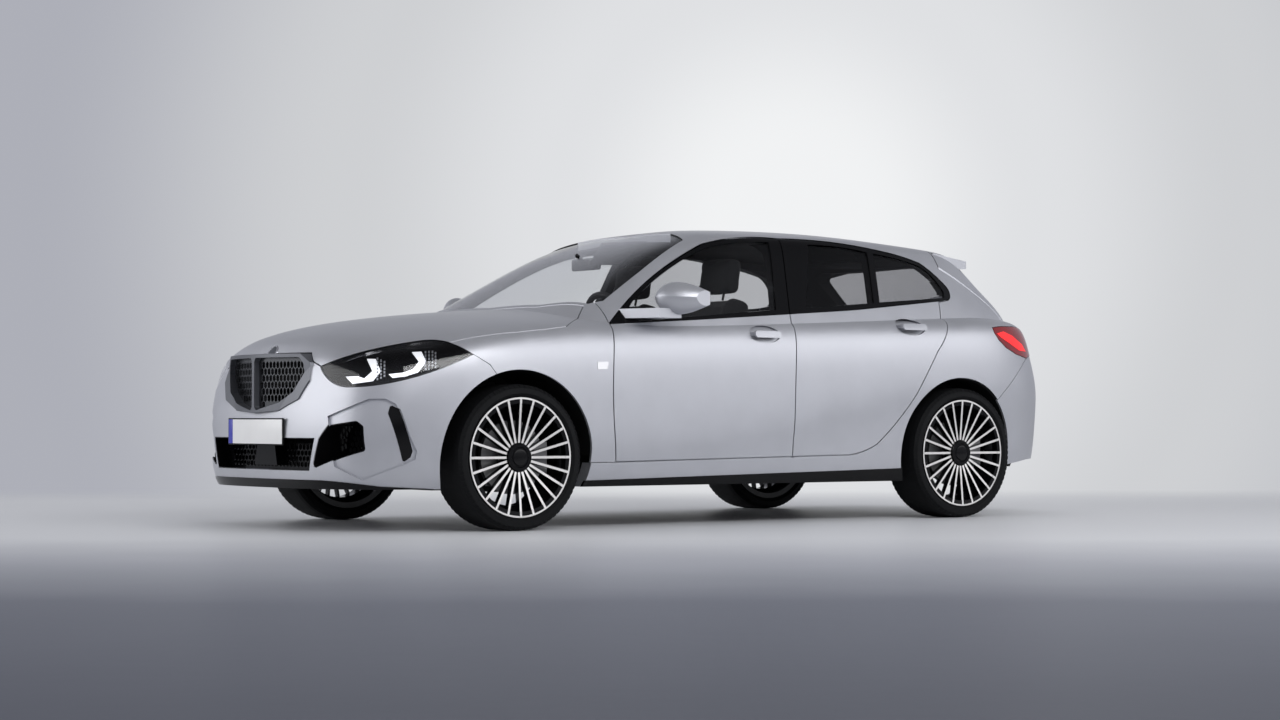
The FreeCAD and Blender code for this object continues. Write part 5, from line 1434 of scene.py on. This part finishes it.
    def blow(self, made: bpy.types.Object, pad: Pad) -> None:
        """Fill a pad's cover by cloth simulation and keep it near its blank.

        Args:
            made: The pad's piece.
            pad: The pad.
        """
        start = [vertex.co.copy() for vertex in made.data.vertices]
        cloth = made.modifiers.new("cloth", "CLOTH").settings
        cloth.use_pressure = True
        cloth.uniform_pressure_force = pad.pressure
        cloth.effector_weights.gravity = 0.0
        cloth.quality = self.cloth_quality
        for number in range(self.cloth_frames):
            bpy.context.scene.frame_set(number + 1)
        self.bake(made)
        bpy.context.scene.frame_set(1)
        for vertex, before in zip(made.data.vertices, start):
            move = vertex.co - before
            if move.length > self.cap:
                vertex.co = before + move.normalized() * self.cap

    def sew(self, made: bpy.types.Object, pad: Pad) -> None:
        """Draw the channels in across a pad.

        Args:
            made: The pad's piece.
            pad: The pad.
        """
        back = Matrix.Rotation(math.radians(-pad.lean), 4, "Y") @ Matrix.Translation(-Vector(pad.centre))
        way, face = (2, 0) if pad.upright else (0, 2)
        out = Vector([1.0 if axis == face else 0.0 for axis in range(3)])
        normal = back.inverted().to_3x3() @ out
        for vertex in made.data.vertices:
            local = back @ vertex.co
            if local[face] <= 0:
                continue
            for seam in pad.seams:
                gap = (local[way] + (0.5 - seam) * pad.size[way]) / self.seam_width
                vertex.co -= normal * self.seam_depth * math.exp(-gap * gap)

    def twin(self, made: bpy.types.Object, name: str) -> bpy.types.Object:
        """A pad's mirror image on the other side of the car.

        Args:
            made: The pad.
            name: The new pad's name.

        Returns:
            The new pad.
        """
        data = made.data.copy()
        data.transform(Matrix.Diagonal((1.0, -1.0, 1.0, 1.0)))
        data.flip_normals()
        data.name = name
        return linked(name, data)

    def finish(self, made: bpy.types.Object, node: str) -> None:
        """Let a pad ride on the body in place of its plain solid, which is hidden.

        Args:
            made: The pad's piece.
            node: The CAD node that it replaces.
        """
        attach(made, "body")
        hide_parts(node)
        LOG.info("pad %s, %d faces", made.name, len(made.data.polygons))

    def seats(self) -> None:
        """Upholster the front seats and the rear bench."""
        for pad in self.front_pads:
            left = self.stuffed(pad)
            left.name = "left_" + pad.name
            self.finish(left, "front_seats")
            self.finish(self.twin(left, "right_" + pad.name), "front_seats")
        for pad in self.rear_pads:
            self.finish(self.stuffed(pad), "rear_seat")

    def bases(self) -> None:
        """Set plinths under the front seats and the bench, and posts under the headrests."""
        base = Shaper().box(*self.seat_base, self.plinth_edge)
        for _, sign in reversed(SIDES):
            low = Vector(self.post_foot) + Vector((0.0, sign * self.post_offset, 0.0))
            base.tube((low, low + Vector(self.post_rise)), self.post_radius, self.rod_sides)
        self.add(base.both_sides(), "seat_bases", "body", CABIN_TRIM, "cabin_plastic")
        plinth = Shaper().box(*self.bench_base, self.plinth_edge)
        self.add(plinth, "bench_base", "body", CABIN_TRIM, "cabin_plastic")

    def mirror(self) -> None:
        """Hang the interior mirror under the top of the windscreen."""
        place = Vector(self.mirror_place)
        shape = Shaper().box(place, self.mirror_size, self.mirror_edge)
        shape.tube([place + Vector(end) for end in self.arm], self.arm_radius, self.rod_sides)
        self.add(shape, "interior_mirror", "body", GLOSS_BLACK, "cabin_plastic")

    def build(self) -> None:
        """Dress the cabin and upholster it."""
        self.dress(("dashboard", "steering_wheel"), CABIN_TRIM)
        self.seats()
        self.bases()
        self.mirror()


@dataclass
class Outside(SubAssembly):
    """Mirrors, the number plate and the bare badges.

    Attributes:
        plate_size: Width and height of the number plate.
        plate_height: Height of its middle.
        plate_rim: Width of the frame round it.
        plate_depth: Thickness of the plate and of its frame's front half.
        plate_reach: Least station of the bumper points that it rests on.
        frame_edge: Radius of the frame's edges.
        sheet_edge: Radius of the plate's edges.
        band_width: Width of the plain end of the plate.
        badge_height: Height at which the nose badge meets the bonnet.
        badge_radius: Its radius.
        badge_steps: Steps round it.
        ring_profile: Section of its ring, as offset in metres and share of the radius.
        disc_profile: Section of its disc, likewise.
        wing_badge: Outline of the tab on the left wing, in pixels of the photograph.
        tab_rise: How far the tab stands proud.
        tab_depth: Its thickness.
        glass: Outline (y, z) of the left mirror's glass.
        glass_start: Station from which it is laid on the shell.
        glass_rise: How far it stands proud.
        glass_depth: Its thickness.
    """

    plate_size: Spot = (0.520, 0.110)
    plate_height: float = 0.4415
    plate_rim: float = 0.006
    plate_depth: float = 0.003
    plate_reach: float = 2.0
    frame_edge: float = 0.002
    sheet_edge: float = 0.0008
    band_width: float = 0.042
    badge_height: float = 0.799
    badge_radius: float = 0.040
    badge_steps: int = 64
    ring_profile: Outline = ((-0.004, 1.0), (0.003, 1.0), (0.0045, 0.96), (0.0045, 0.86), (0.003, 0.82),
                             (-0.004, 0.82))
    disc_profile: Outline = ((-0.004, 0.82), (0.0025, 0.82), (0.0034, 0.5), (0.0036, 0.0))
    wing_badge: Outline = ((597.5, 361.8), (608.5, 361.8), (607.3, 369.3), (597.5, 369.3))
    tab_rise: float = 0.002
    tab_depth: float = 0.003
    glass: Outline = ((0.915, 1.012), (1.015, 1.012), (1.035, 1.042), (1.025, 1.080), (1.005, 1.100),
                      (0.915, 1.100), (0.895, 1.056))
    glass_start: float = -0.5
    glass_rise: float = 0.0015
    glass_depth: float = 0.002

    def plate(self) -> None:
        """Hang the bare number plate with its plain blue end in a thin dark frame."""
        skin = self.skin("front_bumper")
        (wide, high), z, deep = self.plate_size, self.plate_height, self.plate_depth
        reach = [skin.hit((CLEAR_OF_CAR, side, z + rise), BACKWARD)[0].x
                 for side in (-wide / 2, 0.0, wide / 2) for rise in (-high / 2, 0.0, high / 2)]
        x = max(value for value in reach if value > self.plate_reach) + deep / 2
        rim, band = 2 * self.plate_rim, self.band_width
        frame = Shaper().box((x, 0.0, z), (deep * 2, wide + rim, high + rim), self.frame_edge)
        self.add(frame, "plate_frame", "body", MATT_BLACK, "cabin_plastic")
        for name, middle, width, finish in (("number_plate", band / 2, wide - band, PLATE_WHITE),
                                            ("number_plate_end", (band - wide) / 2, band, PLATE_BLUE)):
            sheet = Shaper().box((x + deep, middle, z), (deep, width, high), self.sheet_edge)
            self.add(sheet, name, "body", finish, "paint")

    def badges(self) -> None:
        """Set a bare round badge on the bonnet's nose and a bare tab on each wing."""
        place, normal = self.skin("bonnet").hit((CLEAR_OF_CAR, 0.0, self.badge_height), BACKWARD)
        parts = (("nose_badge_ring", self.ring_profile, CHROME, "rim_alloy"),
                 ("nose_badge_disc", self.disc_profile, SATIN_GREY, "grille_black"))
        for name, profile, finish, slot in parts:
            section = [(offset, share * self.badge_radius) for offset, share in profile]
            self.add(Shaper().turned(section, place, self.badge_steps, normal), name, "bonnet", finish, slot)
        laid = self.skin("front_wings").under(self.wing_badge)
        tab = Shaper().inlay(laid, self.tab_rise, self.tab_depth).both_sides()
        self.add(tab, "wing_badges", "body", SILVER, "rim_alloy", False)

    def mirror_glass(self) -> None:
        """Set a mirror in the rear face of each shell."""
        skin = self.skin("left_mirror")
        laid = [skin.hit((self.glass_start, y, z), FORWARD) for y, z in self.glass]
        for side, sign in SIDES:
            flip = Matrix.Diagonal((1.0, sign, 1.0))
            shape = Shaper().inlay([(flip @ place, flip @ normal) for place, normal in laid], self.glass_rise,
                                   self.glass_depth)
            self.add(shape, side + "_mirror_glass", side + "_front_door", MIRROR_GLASS, "clear_glass", False)

    def build(self) -> None:
        """Dress the mirrors and add the plate, the badges and the mirror glasses."""
        self.dress(("left_mirror", "right_mirror"), PAINT)
        self.plate()
        self.badges()
        self.mirror_glass()


@dataclass(frozen=True)
class Softbox:
    """A soft rectangular lamp.

    Attributes:
        name: Its name.
        place: Its place.
        aim: The point it faces.
        size: Its width and height.
        power: Its power in watts.
        mirrored: Whether glossy surfaces show it.
    """

    name: str
    place: Point
    aim: Point
    size: Spot
    power: float
    mirrored: bool = True

    def hang(self) -> None:
        """Put the lamp into the scene."""
        data = bpy.data.lights.new(self.name, "AREA")
        data.shape = "RECTANGLE"
        data.size, data.size_y = self.size
        data.energy = self.power
        made = linked(self.name, data)
        made.location = self.place
        made.rotation_mode = "QUATERNION"
        made.rotation_quaternion = (Vector(self.aim) - Vector(self.place)).to_track_quat("-Z", "Y")
        made.visible_glossy = self.mirrored


@dataclass
class Studio:
    """The floor, the lamps, the world and the camera.

    Attributes:
        sight: The photograph's camera.
        lamps: The lamps.
        glow_yaw: Direction of the backdrop's brightest place from +X, in degrees.
        glow_pitch: Its direction above the horizon, in degrees.
        glow_shades: Angles from there, in degrees, and the backdrop's colours at them.
        glow_reach: The angle at which the colours end, in degrees.
        height_fade: Heights of a direction between which the backdrop darkens.
        least_height_light: What is left of it overhead.
        world_shade: Colour of the light from all round.
        floor_size: Width of the floor.
        floor_span: Depth of the floor over which its colours run.
        floor_painted_light: Depths from the car's middle, away from the camera, and the floor's colours at
            them: painted light under and beyond the car, painted shade towards the camera.
        floor_roughness: Roughness of the floor.
        floor_specular: How strongly it mirrors.
        cloud_scale: Soft clouds in the floor to a metre.
        cloud_spread: How far they shift the colours, in metres.
        grit_scale: Fine bumps of the floor to a metre.
        grit: Strength and height of the bumps.
        merge: Depths between which the floor passes into the backdrop.
        wide_merge: Distances from the car between which it does so in all directions.
    """

    sight: Sight = Sight()
    lamps: Sequence[Softbox] = (
        Softbox("key", (1.5, 8.5, 5.5), (0.0, 0.0, 0.6), (8.0, 2.5), 420.0),
        Softbox("side", (-6.0, 8.5, 3.6), (-0.5, 0.8, 0.7), (10.0, 4.0), 260.0),
        Softbox("front", (9.0, -3.5, 3.2), (2.0, 0.0, 0.6), (10.0, 5.0), 360.0),
        Softbox("top", (-0.5, 0.0, 6.5), (0.0, 0.0, 0.5), (6.0, 2.5), 60.0, False),
        Softbox("back", (-6.0, -8.0, 3.5), (0.0, 0.0, 0.6), (9.0, 3.0), 220.0, False))
    glow_yaw: float = -129.3
    glow_pitch: float = 4.6
    glow_shades: Shades = ((1.5, (0.88, 0.89, 0.90)), (5.5, (0.74, 0.75, 0.77)), (10.0, (0.62, 0.63, 0.65)),
                           (17.0, (0.42, 0.43, 0.48)))
    glow_reach: float = 30.0
    height_fade: Spot = (0.30, 0.85)
    least_height_light: float = 0.30
    world_shade: Point = (0.56, 0.57, 0.60)
    floor_size: float = 160.0
    floor_span: float = 20.0
    # Painted light and shade: the floor's colour runs from dark near the camera to bright under and beyond
    # the car.
    floor_painted_light: Shades = ((-8.5, (0.060, 0.066, 0.090)), (-5.9, (0.110, 0.118, 0.148)),
                            (-3.9, (0.34, 0.35, 0.39)), (-2.2, (0.62, 0.63, 0.66)), (3.0, (0.68, 0.69, 0.72)))
    floor_roughness: float = 0.42
    floor_specular: float = 0.12
    cloud_scale: float = 1.3
    cloud_spread: float = 0.5
    grit_scale: float = 9.0
    grit: Spot = (0.25, 0.002)
    merge: Spot = (2.4, 5.4)
    wide_merge: Spot = (8.0, 20.0)

    def backdrop(self, graph: Graph, direction: Socket) -> Socket:
        """The backdrop's colour in a direction.

        Args:
            graph: The graph to wire.
            direction: The direction, of unit length.

        Returns:
            The colour.
        """
        centre = heading(self.glow_yaw, self.glow_pitch)
        dot = Value(graph, graph.vector("DOT_PRODUCT", direction, centre).outputs["Value"])
        angle = dot.calc("MINIMUM", 1.0).calc("ARCCOSINE")
        share = angle * (1.0 / math.radians(self.glow_reach))
        stops = [(degrees / self.glow_reach, shade) for degrees, shade in self.glow_shades]
        return self.dimmed(graph, direction, graph.ramp(share, stops, "EASE"))

    def dimmed(self, graph: Graph, direction: Socket, colour: object) -> Socket:
        """A colour that darkens overhead.

        Args:
            graph: The graph to wire.
            direction: The direction, of unit length.
            colour: The colour at the horizon.

        Returns:
            The colour in that direction.
        """
        _, _, height = graph.axes(direction)
        fade = graph.step(height, self.height_fade, (1.0, self.least_height_light))
        mix = graph.vector("SCALE", colour)
        graph.fill(mix.inputs["Scale"], fade)
        return mix.outputs[0]

    def floor_paint(self, graph: Graph) -> None:
        """A pale floor with a painted pool of light under and beyond the car and painted shade towards the
        camera, merging into the backdrop far from the car.

        Args:
            graph: The material's graph.
        """
        x, y, _ = graph.axes()
        yaw = math.radians(self.sight.yaw)
        cloud = graph.noise(self.cloud_scale, 5.0)
        depth = (x * math.cos(yaw) + y * math.sin(yaw)) + (cloud * self.cloud_spread - self.cloud_spread / 2)
        stops = [(place / self.floor_span + 0.5, shade) for place, shade in self.floor_painted_light]
        shade = graph.ramp((depth + self.floor_span / 2) * (1.0 / self.floor_span), stops)
        body = graph.node("ShaderNodeBsdfPrincipled", Base_Color=shade, Roughness=self.floor_roughness,
                          Specular_IOR_Level=self.floor_specular,
                          Normal=graph.bump(graph.noise(self.grit_scale, 6.0), *self.grit))
        away = graph.vector("SUBTRACT", graph.place, self.sight.eye).outputs[0]
        unit = graph.vector("NORMALIZE", away).outputs[0]
        reach = Value(graph, graph.vector("LENGTH", graph.place).outputs["Value"])
        far = graph.step(depth, self.merge).calc("MAXIMUM", graph.step(reach, self.wide_merge))
        seen = Value(graph, graph.node("ShaderNodeLightPath").outputs["Is Camera Ray"])
        glow = graph.node("ShaderNodeEmission", Color=self.backdrop(graph, unit), Strength=1.0)
        graph.end(graph.mixed(seen * far, body.outputs[0], glow.outputs[0]))

    def floor(self, library: Library) -> None:
        """Lay the floor.

        Args:
            library: The materials.
        """
        mesh = bmesh.new()
        bmesh.ops.create_grid(mesh, x_segments=1, y_segments=1, size=self.floor_size / 2)
        made = placed("floor", mesh)
        made.data.materials.append(library.custom("studio_floor", self.floor_paint))
        made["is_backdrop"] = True

    def world(self) -> None:
        """A world that lights softly, and shows as the backdrop to the camera, in glass and in gloss."""
        world = bpy.data.worlds.new("studio")
        bpy.context.scene.world = world
        graph = Graph(world)
        direction = graph.direction
        shown = graph.node("ShaderNodeBackground", Color=self.backdrop(graph, direction), Strength=1.0)
        pale = self.dimmed(graph, direction, self.world_shade)
        soft = graph.node("ShaderNodeBackground", Color=pale, Strength=1.0)
        path = graph.node("ShaderNodeLightPath").outputs
        kinds = ("Camera", "Glossy", "Transmission")
        camera, gloss, glass = (Value(graph, path[f"Is {kind} Ray"]) for kind in kinds)
        seen = camera.calc("MAXIMUM", gloss.calc("MAXIMUM", glass))
        graph.end(graph.mixed(seen, soft.outputs[0], shown.outputs[0]))

    def camera(self) -> None:
        """Set the camera at the photograph's viewing angle."""
        data = bpy.data.cameras.new("camera")
        data.sensor_width = self.sight.sensor
        data.lens = self.sight.lens
        data.clip_end = 200.0
        made = linked("camera", data)
        made.location = self.sight.eye
        made.rotation_mode = "QUATERNION"
        made.rotation_quaternion = self.sight.aim.to_track_quat("-Z", "Y")
        bpy.context.scene.camera = made

    def build(self, library: Library) -> None:
        """Set the whole studio.

        Args:
            library: The materials.
        """
        self.floor(library)
        self.world()
        for lamp in self.lamps:
            lamp.hang()
        self.camera()


def corners() -> list[list[float]]:
    """The shown object's box as two plain lists."""
    low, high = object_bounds()
    return [list(low), list(high)]


def main() -> None:
    """Build the car's looks and the studio."""
    logging.basicConfig(level=logging.INFO, format="%(name)s: %(message)s")
    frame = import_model()
    library = Library()
    for kind in (Bodywork, Glazing, Wheels, Lamps, Cabin, Outside):
        kind(frame, library).build()
        LOG.info("built %s", kind.__name__)
    Studio().build(library)
    scene = bpy.context.scene
    scene.view_settings.view_transform = "Standard"


if __name__ == "__main__":
    main()
